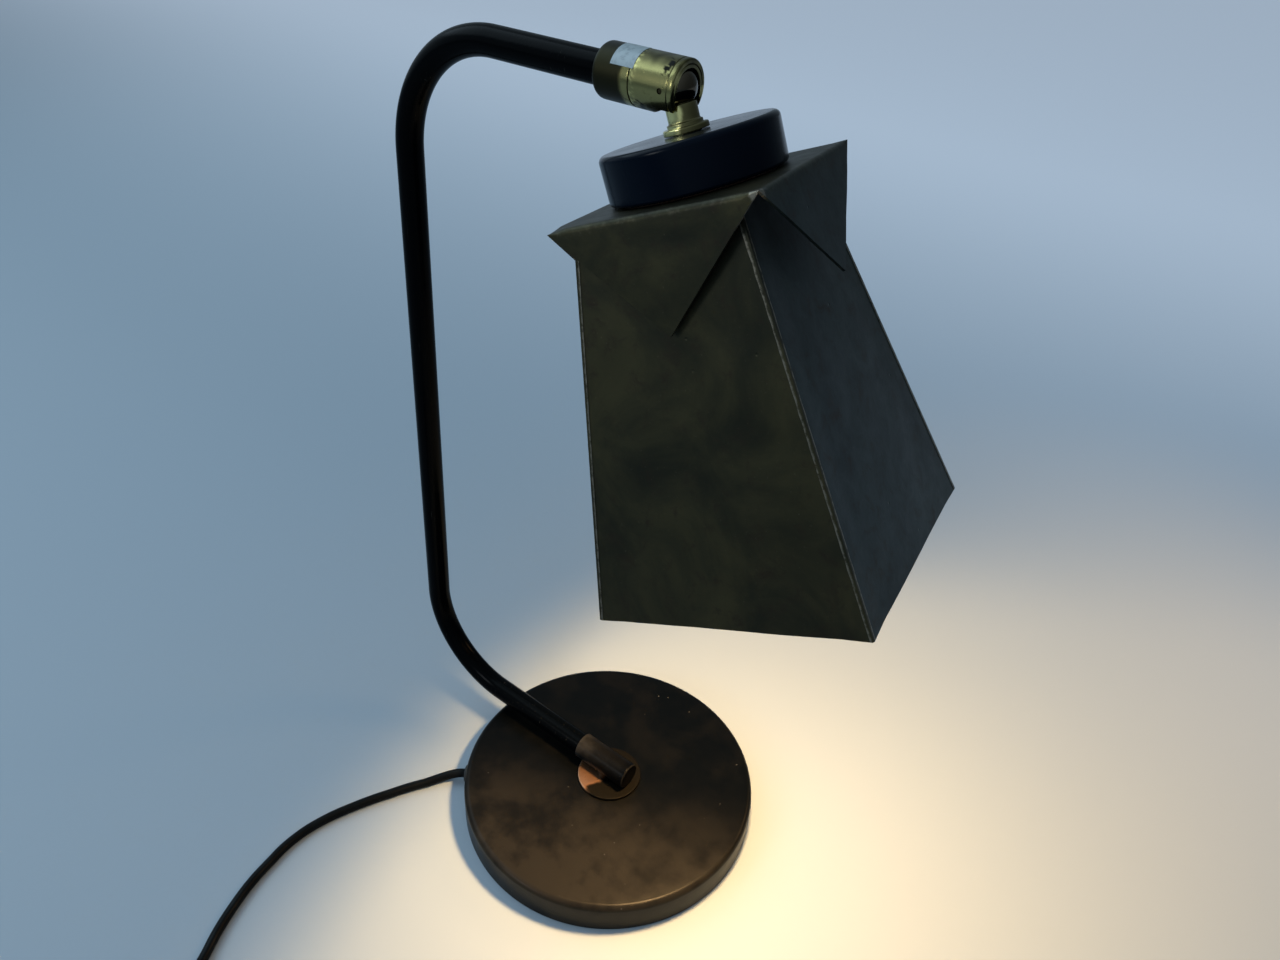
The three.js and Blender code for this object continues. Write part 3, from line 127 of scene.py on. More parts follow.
class Look:
    """The nodes that feed one shader, a material's or the room's, with short ways to make them."""

    def __init__(self, owner, shader, coordinates):
        owner.use_nodes = True
        self.nodes, self.links = owner.node_tree.nodes, owner.node_tree.links
        self.shader = self.nodes[shader]
        self.coordinates = self.nodes.new("ShaderNodeTexCoord").outputs[coordinates]

    def set(self, **sockets):
        for name, value in sockets.items():
            self.plug(self.shader.inputs[name.replace("_", " ")], value)

    def plug(self, socket, value):
        if isinstance(value, bpy.types.NodeSocket):
            self.links.new(value, socket)
        else:
            socket.default_value = (*value, 1) if socket.type == "RGBA" else value

    def node(self, kind, output, **values):
        """A new node's output: names with a capital and i0, i1... are its sockets, others its settings."""
        made = self.nodes.new("ShaderNode" + kind)
        for key, value in values.items():
            if key[0].isupper():
                self.plug(made.inputs[key.replace("_", " ")], value)
            elif key[1:].isdigit():
                self.plug(made.inputs[int(key[1:])], value)
            else:
                setattr(made, key, value)
        return made.outputs[output]

    def stretched(self, x, y, z):
        """The object's coordinates scaled along each axis, for grain that runs one way."""
        return self.node("Mapping", "Vector", Vector=self.coordinates, Scale=(x, y, z))

    def noise(self, size, detail=4.0, roughness=0.55, vector=None, distortion=0.0):
        """Soft noise whose blotches are about size millimetres across."""
        return self.node(
            "TexNoise", "Fac", Vector=vector or self.coordinates, Scale=1 / (size * MM), Detail=detail,
            Roughness=roughness, Distortion=distortion,
        )

    def specks(self, spacing, radius):
        """Dots of a share of the spacing between them, 1 at their centres."""
        distance = self.node("TexVoronoi", "Distance", Vector=self.coordinates, Scale=1 / (spacing * MM))
        return self.fade(distance, radius, 0)

    def fade(self, value, low, high):
        """0 where the value is low and 1 where it is high, clamped and smooth."""
        return self.node(
            "MapRange", "Result", interpolation_type="SMOOTHSTEP", Value=value, From_Min=low, From_Max=high,
        )

    def between(self, share, low, high):
        return self.node("MapRange", "Result", Value=share, To_Min=low, To_Max=high)

    def math(self, operation, a, b):
        return self.node("Math", "Value", operation=operation, i0=a, i1=b)

    def times(self, a, b):
        return self.math("MULTIPLY", a, b)

    def blend(self, share, a, b):
        """Colour a where share is 0 and colour b where it is 1."""
        return self.node("Mix", 2, data_type="RGBA", i0=share, i6=a, i7=b)

    def mask(self, name):
        """A mask kept on the vertices."""
        return self.node("Attribute", "Fac", attribute_name=name)

    def skin(self, colour, roughness, height, depth):
        """The surface, with relief whose full height is depth millimetres."""
        relief = self.node("Bump", "Normal", Height=height, Distance=depth * MM)
        self.set(Base_Color=colour, Roughness=roughness, Normal=relief)

    def mottle(self, pattern, colours, roughness, height, depth):
        """A skin whose colour and roughness both follow one pattern."""
        self.skin(self.blend(pattern, *colours), self.between(pattern, *roughness), height, depth)


def finish(name, **sockets):
    """A new material, kept under its name."""
    FINISHES[name] = bpy.data.materials.new(name)
    look = Look(FINISHES[name], "Principled BSDF", "Object")
    look.set(**sockets)
    return look


def lacquer(name, base, worn, roughness, gloss):
    """Old black stove enamel: fine orange peel, dust specks and rubbed patches, and smudges of the worn
    colour where the wear mask is high, which are a painted sheen on the base and painted highlights on the
    sleeve's rims.
    """
    f = finish(name, Specular_IOR_Level=gloss)
    patches = f.fade(f.noise(22, 5), 0.42, 0.7)
    dust = f.specks(11, 0.055)
    clouds = f.fade(f.noise(26, 6, 0.6), 0.36, 0.66)
    # These smudges in the worn colour are painted sheen and painted highlight.
    sheen_and_smudges = f.times(f.mask("wear"), f.between(clouds, 0.35, 1.45))
    scuffs_and_sheen = f.blend(f.math("MAXIMUM", f.times(patches, 0.14), sheen_and_smudges), base, worn)
    dusty = f.blend(f.times(dust, 0.25), scuffs_and_sheen, (0.32, 0.31, 0.29))
    rough = f.between(f.noise(9, 5), roughness - 0.07, roughness + 0.12)
    f.skin(dusty, rough, f.math("ADD", f.times(f.noise(0.9, 2), 0.6), f.times(dust, 0.5)), 0.05)


def arm_lacquer():
    """The arm's satin enamel, with fine scratches that run along it."""
    f = finish("arm_lacquer", Specular_IOR_Level=0.025)
    scratches = f.fade(f.noise(1.2, 2, vector=f.stretched(1.6, 1, 0.05)), 0.66, 0.78)
    worn = f.times(scratches, f.fade(f.noise(30, 3), 0.45, 0.7))
    colour = f.blend(worn, (0.0005, 0.0008, 0.0012), (0.04, 0.038, 0.034))
    f.skin(colour, f.between(f.noise(14, 5), 0.14, 0.26), f.noise(1.1, 2), 0.03)


def brass(name, clean, tarnish, amount, size=5.0, rough=0.24):
    """Turned brass with lathe marks, brown tarnish in patches and small black pits; its tarnish mask also
    carries painted shade on the joint and the neck.
    """
    f = finish(name, Metallic=1.0)
    blotches = f.fade(f.noise(size, 6, 0.65, distortion=0.6), 0.66 - amount, 0.86 - amount)
    pits = f.specks(3.2, 0.1)
    aged = f.math("MAXIMUM", f.math("MAXIMUM", blotches, f.mask("tarnish")), pits)
    bare = tuple(min(1, 2.2 * c) for c in clean)
    colour = f.blend(f.mask("wear"), f.blend(aged, clean, tarnish), bare)
    rings = f.noise(0.35, 1, vector=f.stretched(1, 0.04, 0.04))
    dull = f.math("ADD", f.between(aged, rough, rough + 0.26), f.between(rings, -0.05, 0.05))
    f.skin(colour, dull, f.math("SUBTRACT", f.times(rings, 0.25), pits), 0.05)


def patina():
    """Bronze-brown patina on folded sheet metal, rubbed to bare metal along folds and edges, with a blue-grey
    tint on the right and back sides that is a painted reflection of cool light.
    """
    f = finish("patina_sheet", Metallic=0.85, Specular_IOR_Level=0.5)
    cloudy = f.fade(f.noise(38, 6, 0.6, distortion=0.8), 0.3, 0.72)
    stains = f.noise(8, 6, 0.7, distortion=0.4)
    flecks = f.fade(f.noise(1.3, 4, 0.7), 0.62, 0.8)
    rubbed = f.fade(f.times(f.mask("wear"), f.between(f.noise(2.4, 4, 0.7), -0.35, 1.5)), 0.2, 0.9)
    olive = f.blend(cloudy, (0.014, 0.0145, 0.0085), (0.041, 0.036, 0.0165))
    # Painted reflection: the blue-grey that the right and back sides show from cool light.
    blue_reflection_tint = f.blend(cloudy, (0.008, 0.016, 0.016), (0.017, 0.030, 0.0285))
    colour = f.blend(f.mask("cool"), olive, blue_reflection_tint)
    colour = f.blend(f.fade(stains, 0.5, 0.78), colour, (0.020, 0.014, 0.009))
    colour = f.blend(f.times(flecks, 0.35), colour, (0.115, 0.095, 0.060))
    colour = f.blend(rubbed, colour, (0.17, 0.15, 0.115))
    colour = f.blend(f.mask("inside"), colour, (0.90, 0.86, 0.78))
    rough = f.math("SUBTRACT", f.between(stains, 0.36, 0.60), f.times(rubbed, 0.12))
    relief = f.math("ADD", f.times(f.noise(1.8, 4, 0.6), 0.25), f.times(stains, 0.3))
    f.skin(colour, rough, f.math("SUBTRACT", relief, f.specks(13, 0.055)), 0.12)


def gloss_black():
    """The cap's deep navy-black gloss, with faint wipe marks and dust."""
    f = finish("black_gloss", Specular_IOR_Level=0.06)
    dusty = f.blend(f.times(f.specks(4.5, 0.045), 0.6), (0.0007, 0.0026, 0.0070), (0.05, 0.06, 0.08))
    wiped = f.between(f.noise(16, 5, 0.6, vector=f.stretched(1, 1, 3)), 0.10, 0.26)
    f.skin(dusty, wiped, f.noise(2.6, 3), 0.02)


def zinc():
    """Zinc-plated steel: cloudy plating over fine turning marks."""
    f = finish("zinc_steel", Metallic=1.0)
    bright = (0.52, 0.53, 0.54)
    cloudy = f.blend(f.fade(f.noise(6, 5, 0.6), 0.4, 0.75), bright, tuple(0.72 * c for c in bright))
    f.skin(cloudy, f.between(f.noise(1.1, 3), 0.26, 0.44), f.noise(0.6, 2), 0.02)


def casting():
    """Rough grey cast iron."""
    f = finish("cast_iron", Metallic=0.6)
    grain = f.noise(2.2, 6, 0.7)
    f.mottle(grain, [(0.055, 0.053, 0.05), (0.14, 0.13, 0.12)], (0.6, 0.85), grain, 0.4)


def cloth(name, base, light, size=0.5):
    """Felted or braided fibres, by their size."""
    f = finish(name, Sheen_Weight=0.5, Sheen_Roughness=0.5, Specular_IOR_Level=0.2)
    fibres = f.noise(size, 5, 0.75)
    f.mottle(fibres, (base, light), (0.8, 1.0), fibres, 0.25)


def plastic(name, base, rubbed, roughness, grain=0.7, gloss=0.5):
    """Moulded plastic or rubber with a fine grain, shinier where hands polish it."""
    f = finish(name, Specular_IOR_Level=gloss)
    handled = f.fade(f.noise(11, 4), 0.45, 0.75)
    f.mottle(handled, (base, rubbed), (roughness + 0.08, roughness - 0.08), f.noise(grain, 3, 0.6), 0.03)


def porcelain():
    f = finish("porcelain", Specular_IOR_Level=0.5, Coat_Weight=0.6, Coat_Roughness=0.08)
    f.mottle(f.noise(5, 4), [(0.74, 0.70, 0.62), (0.82, 0.79, 0.73)], (0.16, 0.28), f.noise(1.5, 3), 0.03)


def lit_glass():
    """Opal bulb glass with the lamp switched on, warmer and dimmer towards its neck."""
    f = finish("opal_glass", Roughness=0.28, Specular_IOR_Level=0.5)
    glow = f.mask("glow")
    tone = f.times(f.noise(14, 3), 0.25)
    f.set(
        Base_Color=f.blend(tone, (0.93, 0.90, 0.84), (0.88, 0.82, 0.72)),
        Emission_Color=f.blend(glow, (1.0, 0.50, 0.18), (1.0, 0.63, 0.27)),
        Emission_Strength=f.times(f.between(glow, 0.25, 1.0), BULB_GLOW),
    )


def label():
    """A blank paper sticker with scuffs."""
    f = finish("label", Specular_IOR_Level=0.5, Coat_Weight=0.3, Coat_Roughness=0.3)
    scuffs = f.fade(f.noise(2.2, 5, 0.7), 0.45, 0.72)
    f.mottle(scuffs, [(0.26, 0.32, 0.35), (0.17, 0.21, 0.23)], (0.35, 0.6), f.noise(0.8, 3), 0.04)


lacquer("black_lacquer", (0.0005, 0.0008, 0.0009), (0.0135, 0.0118, 0.0088), 0.32, 0.08)
arm_lacquer()
lacquer("sleeve_lacquer", (0.0005, 0.0006, 0.0007), (0.02, 0.019, 0.017), 0.3, 0.04)
casting()
zinc()
cloth("felt", (0.012, 0.020, 0.014), (0.030, 0.042, 0.032))
brass("copper_brass", (0.43, 0.22, 0.115), (0.009, 0.008, 0.006), 0.10, 7.0, 0.36)
brass("joint_brass", (0.26, 0.228, 0.092), (0.006, 0.006, 0.0042), 0.06, 4.0, 0.19)
brass("dark_brass", (0.06, 0.045, 0.022), (0.022, 0.016, 0.010), 0.20)
brass("neck_brass", (0.68, 0.60, 0.26), (0.035, 0.028, 0.014), 0.06, 4.0, 0.18)
brass("ball_brass", (0.075, 0.06, 0.042), (0.022, 0.018, 0.013), 0.12, 6.0, 0.11)
patina()
gloss_black()
cloth("fibre", (0.05, 0.02, 0.012), (0.10, 0.045, 0.028), 1.2)
plastic("holder_plastic", (0.016, 0.014, 0.013), (0.03, 0.027, 0.025), 0.32)
porcelain()
lit_glass()
cloth("wire_sleeve", (0.02, 0.02, 0.02), (0.06, 0.055, 0.05))
plastic("cord_rubber", (0.0016, 0.002, 0.0022), (0.004, 0.005, 0.0055), 0.34, 1.2, 0.08)
plastic("grommet_rubber", (0.012, 0.012, 0.012), (0.022, 0.022, 0.022), 0.62)
plastic("switch_plastic", (0.014, 0.014, 0.015), (0.026, 0.026, 0.027), 0.42, 0.5)
label()

# ---- mesh helpers


def shade(piece, sharp=32):
    piece.data.shade_smooth()
    piece.data.set_sharp_from_angle(angle=radians(sharp))
    return piece


def mesh_object(name, bm, place=FOOT, sharp=32):
    """A closed mesh drawn in millimetres in its own frame, as an object in metres in the row frame."""
    bmesh.ops.remove_doubles(bm, verts=bm.verts, dist=1e-3)
    scale = Matrix.Diagonal((MM, MM, MM, 1))
    bmesh.ops.transform(bm, matrix=scale @ place, verts=bm.verts)
    bmesh.ops.recalc_face_normals(bm, faces=bm.faces)
    mesh = bpy.data.meshes.new(name)
    bm.to_mesh(mesh)
    bm.free()
    return shade(new_object(name, mesh), sharp)


def rounded(points, steps=5):
    """A closed outline in which each corner given as (x, y, radius) becomes an arc."""
    outline = []
    for i, (x, y, *radius) in enumerate(points):
        here = Vector((x, y))
        if not radius:
            outline.append(here)
            continue
        back = Vector(points[i - 1][:2]) - here
        ahead = Vector(points[(i + 1) % len(points)][:2]) - here
        half = back.angle(ahead) / 2
        reach = min(radius[0] / tan(half), back.length * 0.49, ahead.length * 0.49)
        middle = (back.normalized() + ahead.normalized()).normalized()
        centre = here + middle * (reach / cos(half))
        first = here + back.normalized() * reach - centre
        last = here + ahead.normalized() * reach - centre
        angle = atan2(first.cross(last), first.dot(last))
        for k in range(steps + 1):
            c, s = cos(angle * k / steps), sin(angle * k / steps)
            outline.append(centre + Vector((c * first.x - s * first.y, s * first.x + c * first.y)))
    return outline


def refined(outline, step):
    """The closed outline with points added so that none of its edges is longer than step."""
    points = []
    for here, there in zip(outline, outline[1:] + outline[:1]):
        count = max(ceil((there - here).length / step), 1)
        points += [here.lerp(there, k / count) for k in range(count)]
    return points


def arc(radius, first, last, steps):
    """Points round the origin from one angle to another."""
    angles = (first + (last - first) * k / steps for k in range(steps + 1))
    return [Vector((radius * cos(a), radius * sin(a))) for a in angles]


def circle(radius, sides):
    return arc(radius, 0, tau, sides)[:-1]


def ring_at(bm, outline, height):
    return [bm.verts.new((x, y, height)) for x, y in outline]


def bridge(bm, here, there):
    """Faces between two closed rings, either of which may be a single point."""
    for k in range(max(len(here), len(there))):
        lower = [here[k % len(here)], here[(k + 1) % len(here)]]
        upper = [there[(k + 1) % len(there)], there[k % len(there)]]
        distinct = list(dict.fromkeys(lower + upper))
        if len(distinct) > 2:
            bm.faces.new(distinct)


def loft(bm, rings):
    """Faces from ring to ring, and over the first and the last."""
    for here, there in zip(rings, rings[1:]):
        bridge(bm, here, there)
    bm.faces.new(rings[0])
    bm.faces.new(rings[-1][::-1])


def lathe(name, points, place=FOOT, segments=96, step=1000.0):
    """Turns a closed outline of (radius, height) points, with rounded corners, about its frame's Z."""
    bm = bmesh.new()
    rings = []
    for radius, height in refined(rounded(points), step):
        rings.append(ring_at(bm, circle(radius, segments) if radius > 1e-4 else [(0, 0)], height))
    for here, there in zip(rings, rings[1:] + rings[:1]):
        bridge(bm, here, there)
    return mesh_object(name, bm, place)


def rod(name, radius, low, high, place=FOOT, segments=32):
    return lathe(name, [(0, low), (radius, low), (radius, high), (0, high)], place, segments)


def prism(name, outline, low, high, place=FOOT, edge=0.0):
    """A slab between two heights with the given outline and, where edge isn't 0, rounded rims."""
    bm = bmesh.new()
    levels = [(low, 0), (high, 0)]
    if edge:
        quarter = [(edge * (1 - sin(pi / 8 * k)), edge * (1 - cos(pi / 8 * k))) for k in range(5)]
        levels = [(low + rise, inset) for rise, inset in quarter[::-1]]
        levels += [(high - rise, inset) for rise, inset in quarter]
    loft(bm, [ring_at(bm, inset_outline(outline, inset), height) for height, inset in levels])
    return mesh_object(name, bm, place)


def inset_outline(outline, inset):
    """The outline moved inwards along the mean normal of its neighbouring edges."""
    area = sum(a.cross(b) for a, b in zip(outline, outline[1:] + outline[:1]))
    moved = []
    for here, before, after in zip(outline, outline[-1:] + outline[:-1], outline[1:] + outline[:1]):
        tangent = ((after - here).normalized() + (here - before).normalized()).normalized()
        moved.append(here + copysign(inset, area) * Vector((-tangent.y, tangent.x)))
    return moved


def rounded_box(length, width, corner):
    x, y = length / 2, width / 2
    return rounded([(x, -y, corner), (x, y, corner), (-x, y, corner), (-x, -y, corner)], 8)


def modify(piece, name, kind, **settings):
    assign(piece.modifiers.new(name, kind), **settings)
    return piece


def settle(piece):
    """Applies a piece's modifiers to its mesh."""
    depsgraph = bpy.context.evaluated_depsgraph_get()
    mesh = bpy.data.meshes.new_from_object(piece.evaluated_get(depsgraph))
    piece.modifiers.clear()
    piece.data = mesh
    return piece


def carve(piece, *others, operation="DIFFERENCE"):
    """Cuts the others out of a piece, or joins them to it, and removes them."""
    for other in others:
        settle(modify(piece, "carve", "BOOLEAN", operation=operation, solver="EXACT", object=other))
        bpy.data.objects.remove(other)
    return shade(piece)


def soften(piece, width, angle=50):
    """Breaks a piece's sharp edges."""
    shape = {"width": width * MM, "segments": 2, "limit_method": "ANGLE", "angle_limit": radians(angle)}
    return modify(piece, "soften", "BEVEL", **shape)


def dress(piece, body, finish, *nodes, slot=None, **masks):
    """Gives a piece its finish and its body, and hides the CAD nodes that it stands for.

    A mask is a function of a point in millimetres in the row frame, written on the vertices.
    """
    for mask, value in masks.items():
        attribute = piece.data.attributes.new(mask, "FLOAT", "POINT")
        attribute.data.foreach_set("value", [value(vertex.co / MM) for vertex in piece.data.vertices])
    piece.data.materials.clear()
    piece.data.materials.append(FINISHES[finish])
    if piece.type == "MESH":
        modify(piece, "even", "WEIGHTED_NORMAL", keep_sharp=True)
    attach(piece, body)
    slot or finish
    if nodes:
        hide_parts(*nodes)
    return piece


def ease(low, high, value):
    """value clamped and smoothed from 0 at low to 1 at high; low may be the larger number."""
    t = min(1.0, max(0.0, (value - low) / (high - low)))
    return t * t * (3 - 2 * t)

# ---- cords

CORD_HEADING = radians(213)
CORD_EXIT_REACH = 84.0
CORD_START_REACH = 79.0
CORD_EXIT_Z = 6.0
CORD_TO_SWITCH = [
    (-74.6, -49.3, 4.9), (-79.0, -55.0, 3.4), (-82.7, -61.2, 2.6), (-88.1, -70.4, 2.5), (-92.8, -79.7, 2.5),
    (-97.4, -89.1, 2.5), (-101.4, -98.6, 2.5), (-104.5, -106.8, 2.5), (-106.8, -114.9, 2.5),
    (-108.3, -122.7, 2.5), (-108.8, -130.4, 2.5), (-108.5, -138.0, 2.5), (-107.2, -145.6, 2.5),
    (-104.6, -158.6, 2.5), (-100.3, -171.4, 2.5), (-94.6, -184.4, 2.5), (-87.2, -197.2, 2.8),
    (-82.1, -205.7, 4.6), (-78.2, -212.2, 6.3),
]
SWITCH_CENTRE = Vector((-60.3, -242.3, 0))
SWITCH_HEADING = radians(-59.3)
SWITCH_PORT_Z = 7.15
SWITCH_PORT = (27.0, 32.0)  # reach of the cord's end in the switch, and of its straight length
CORD_MIDDLE = [(37.0, 5.4), (43.0, 3.4), (50.0, 2.5)]  # reach from the switch's centre, and height
COIL_JOIN_REACH = 63.0
COIL_RADII = (37.65, 32.55, 27.45, 22.35)
COIL_PITCH = 5.1
COIL_CLIMB = 3.5  # turns before the cord is up on the second layer
COIL_STEPS = 24  # points of each turn
COIL_END = [(41.9, -269.2, 7.6), (41.9, -263.2, 7.3)]  # still held up by the turn below
CORD_END = [
    (41.9, -257.1, 6.6), (41.9, -249.1, 5.4), (41.9, -241.1, 4.1), (41.9, -233.1, 3.0), (41.9, -225.1, 2.5),
    (41.9, -217.1, 2.5), (41.9, -209.6, 3.0), (41.9, -202.6, 4.4), (41.8, -196.6, 5.9),
]
PLUG_CENTRE = Vector((40.4, -172, 0))
PLUG_HEADING = radians(94)
PLUG_PORT = (-19.0, -14.0)
PLUG_PORT_Z = 6.8


def step_from(centre, heading, distance, height):
    return centre + Vector((cos(heading) * distance, sin(heading) * distance, height))


def coil_radius(turns):
    """The cord winds inwards on the table, then outwards on top of itself from COIL_CLIMB on."""
    radii, low, high = COIL_RADII, 0.5, 1
    if turns >= COIL_CLIMB:
        radii, low, high = COIL_RADII[::-1], 0, 0.75
        turns -= COIL_CLIMB
    lap = int(turns)
    share = ease(low, high, turns - lap)
    ahead = radii[min(lap + 1, len(radii) - 1)]
    return radii[lap] + (ahead - radii[lap]) * share


def coil_points():
    """From where the cord meets the outer turn to where it leaves the upper layer, heading for +Y."""
    join = step_from(SWITCH_CENTRE, SWITCH_HEADING, COIL_JOIN_REACH, 0)
    centre = step_from(join, SWITCH_HEADING + pi / 2, COIL_RADII[0], 0)
    start = SWITCH_HEADING - pi / 2
    whole_turns = 2 * len(COIL_RADII) - 2
    total = whole_turns - start / tau
    count = round(total * COIL_STEPS)
    points = []
    for i in range(count + 1):
        turns = total * i / count
        height = CORD_R + COIL_PITCH * ease(COIL_CLIMB - 0.25, COIL_CLIMB, turns)
        points.append(step_from(centre, start + tau * turns, coil_radius(turns), height))
    return points


def cord_curve(name, points):
    """A round cord through its points, as a curve of one smooth spline."""
    curve = assign(bpy.data.curves.new(name, "CURVE"), dimensions="3D", use_fill_caps=True)
    assign(curve, bevel_depth=CORD_R * MM, bevel_resolution=5, resolution_u=5)
    spline = curve.splines.new("BEZIER")
    spline.bezier_points.add(len(points) - 1)
    for knot, point in zip(spline.bezier_points, points):
        assign(knot, co=Vector(point) * MM, handle_left_type="AUTO", handle_right_type="AUTO")
    return new_object(name, curve)


def along_cord_exit(reach):
    return step_from(Vector((0, 0, 0)), CORD_HEADING, reach, CORD_EXIT_Z)


def along_switch(reach, height):
    return step_from(SWITCH_CENTRE, SWITCH_HEADING, reach, height)


def cord_pieces(switch_parts, plug_parts):
    """Two lengths of one flex: from the foot to the switch, and on through the coil to the plug."""
    inside, outside = SWITCH_PORT
    first = [along_cord_exit(CORD_START_REACH), along_cord_exit(CORD_EXIT_REACH), *CORD_TO_SWITCH]
    first += [along_switch(-outside, SWITCH_PORT_Z), along_switch(-inside, SWITCH_PORT_Z)]
    lead = dress(cord_curve("lead_to_switch", first), "base", "cord_rubber", "cord_to_switch")
    exit_place = along_cord_exit(CORD_EXIT_REACH) * MM

    second = [along_switch(inside, SWITCH_PORT_Z), along_switch(outside, SWITCH_PORT_Z)]
    second += [along_switch(reach, height) for reach, height in CORD_MIDDLE]
    second += [*coil_points(), *COIL_END, *CORD_END]
    second += [step_from(PLUG_CENTRE, PLUG_HEADING, reach, PLUG_PORT_Z) for reach in PLUG_PORT]
    replaced = ["cord_to_coil", "cord_coil", "cord_to_plug"]
    lead = dress(cord_curve("lead_to_plug", second), "base", "cord_rubber", *replaced)
    exit_place = along_switch(inside, SWITCH_PORT_Z) * MM


# ---- cord switch and plug

SWITCH_FRAME = Matrix.Translation(SWITCH_CENTRE) @ turn(SWITCH_HEADING, "Z")
SWITCH_LENGTH = 60
SWITCH_WIDTH = 24
SWITCH_CORNER = 8
SWITCH_WALL = 1.6
SWITCH_SPLIT = (7.0, 7.3)  # top of the base, foot of the cover
SWITCH_TOP = 14.8
ROCKER_AXIS_Z = 11.6
ROCKER_TILT = radians(7)
ROCKER_HALF = 10
ROCKER_HALF_WIDTH = 5.5
ROCKER_WINDOW_FIT = 0.8
PLUG_FRAME = Matrix.Translation(PLUG_CENTRE) @ turn(PLUG_HEADING, "Z")
PLUG_HALF = 17
PLUG_H = 13.6
PIN_R = 2
PIN_TIP = 36
PIN_START = 13
PIN_HALF_SPACING = 9.3
SLEEVE_SHARE = 0.55  # of a pin that its insulating sleeve covers


def rod_along_x(name, radius, low, high, place, height=0.0, across=0.0):
    return rod(name, radius, low, high, place @ Matrix.Translation((0, across, height)) @ ALONG_X)


def switch_shell(name, low, high, edge):
    outline = rounded_box(SWITCH_LENGTH, SWITCH_WIDTH, SWITCH_CORNER)
    shell = prism(name, outline, low, high, SWITCH_FRAME, edge)
    ports = rod_along_x("ports", CORD_HOLE_R, -SWITCH_LENGTH, SWITCH_LENGTH, SWITCH_FRAME, SWITCH_PORT_Z)
    return carve(shell, ports)


def switch_hollow(low, high):
    wall = 2 * SWITCH_WALL
    outline = rounded_box(SWITCH_LENGTH - wall, SWITCH_WIDTH - wall, SWITCH_CORNER - SWITCH_WALL)
    return prism("hollow", outline, low, high, SWITCH_FRAME)


def switch_grips():
    """Three ribs across each end of the cover, for the fingers."""
    for end in (-1, 1):
        for step in range(3):
            x = end * (SWITCH_LENGTH / 2 - 7 - 2.6 * step)
            outline = [p + Vector((x, 0)) for p in rounded_box(1.3, SWITCH_WIDTH - 9, 0.6)]
            yield prism("grip", outline, SWITCH_TOP - 0.6, SWITCH_TOP + 0.45, SWITCH_FRAME, 0.3)


def switch_pieces():
    base_top, cover_foot = SWITCH_SPLIT
    base = carve(switch_shell("flex_switch_base", 0, base_top, 1.3), switch_hollow(SWITCH_WALL, base_top + 1))
    cover = switch_shell("flex_switch_cover", cover_foot, SWITCH_TOP, 2.2)
    window_length = 2 * (ROCKER_HALF + ROCKER_WINDOW_FIT)
    window_width = 2 * (ROCKER_HALF_WIDTH + ROCKER_WINDOW_FIT)
    window = prism(
        "window", rounded_box(window_length, window_width, 0.8), cover_foot, SWITCH_TOP + 1, SWITCH_FRAME,
    )
    cover = carve(cover, switch_hollow(cover_foot - 1, SWITCH_TOP - SWITCH_WALL), window)
    cover = carve(cover, *switch_grips(), operation="UNION")
    low = SWITCH_TOP - 5 - ROCKER_AXIS_Z
    crest = SWITCH_TOP + 2.4 - ROCKER_AXIS_Z
    valley = SWITCH_TOP + 0.8 - ROCKER_AXIS_Z
    side = [
        (-ROCKER_HALF, low + 2.2, 0.5), (-ROCKER_HALF / 2, low, 2), (ROCKER_HALF / 2, low, 2),
        (ROCKER_HALF, low + 2.2, 0.5), (ROCKER_HALF, crest, 0.7), (0, valley, 14),
        (-ROCKER_HALF, crest, 0.7),
    ]
    axis = SWITCH_FRAME @ Matrix.Translation((0, 0, ROCKER_AXIS_Z)) @ turn(ROCKER_TILT, "Y")
    upright = axis @ turn(pi / 2, "X")
    rocker = prism("flex_switch_rocker", rounded(side), -ROCKER_HALF_WIDTH, ROCKER_HALF_WIDTH, upright, 0.5)
    pin_half = ROCKER_HALF_WIDTH + ROCKER_WINDOW_FIT + 1.4
    pin_axis = axis @ turn(pi / 2, "Z")
    rocker = carve(rocker, rod_along_x("pin", 1, -pin_half, pin_half, pin_axis), operation="UNION")
    return [
        dress(base, "base", "switch_plastic", "switch_base"),
        dress(soften(cover, 0.25), "base", "switch_plastic", "switch_cover"),
        dress(rocker, "rocker", "switch_plastic", "switch_rocker"),
    ]


def curve_between(start, control, end, steps=10):
    """Points of a quadratic curve, without its last one."""
    places = (i / steps for i in range(steps))
    return [start * (1 - t) ** 2 + control * 2 * t * (1 - t) + end * t * t for t in places]


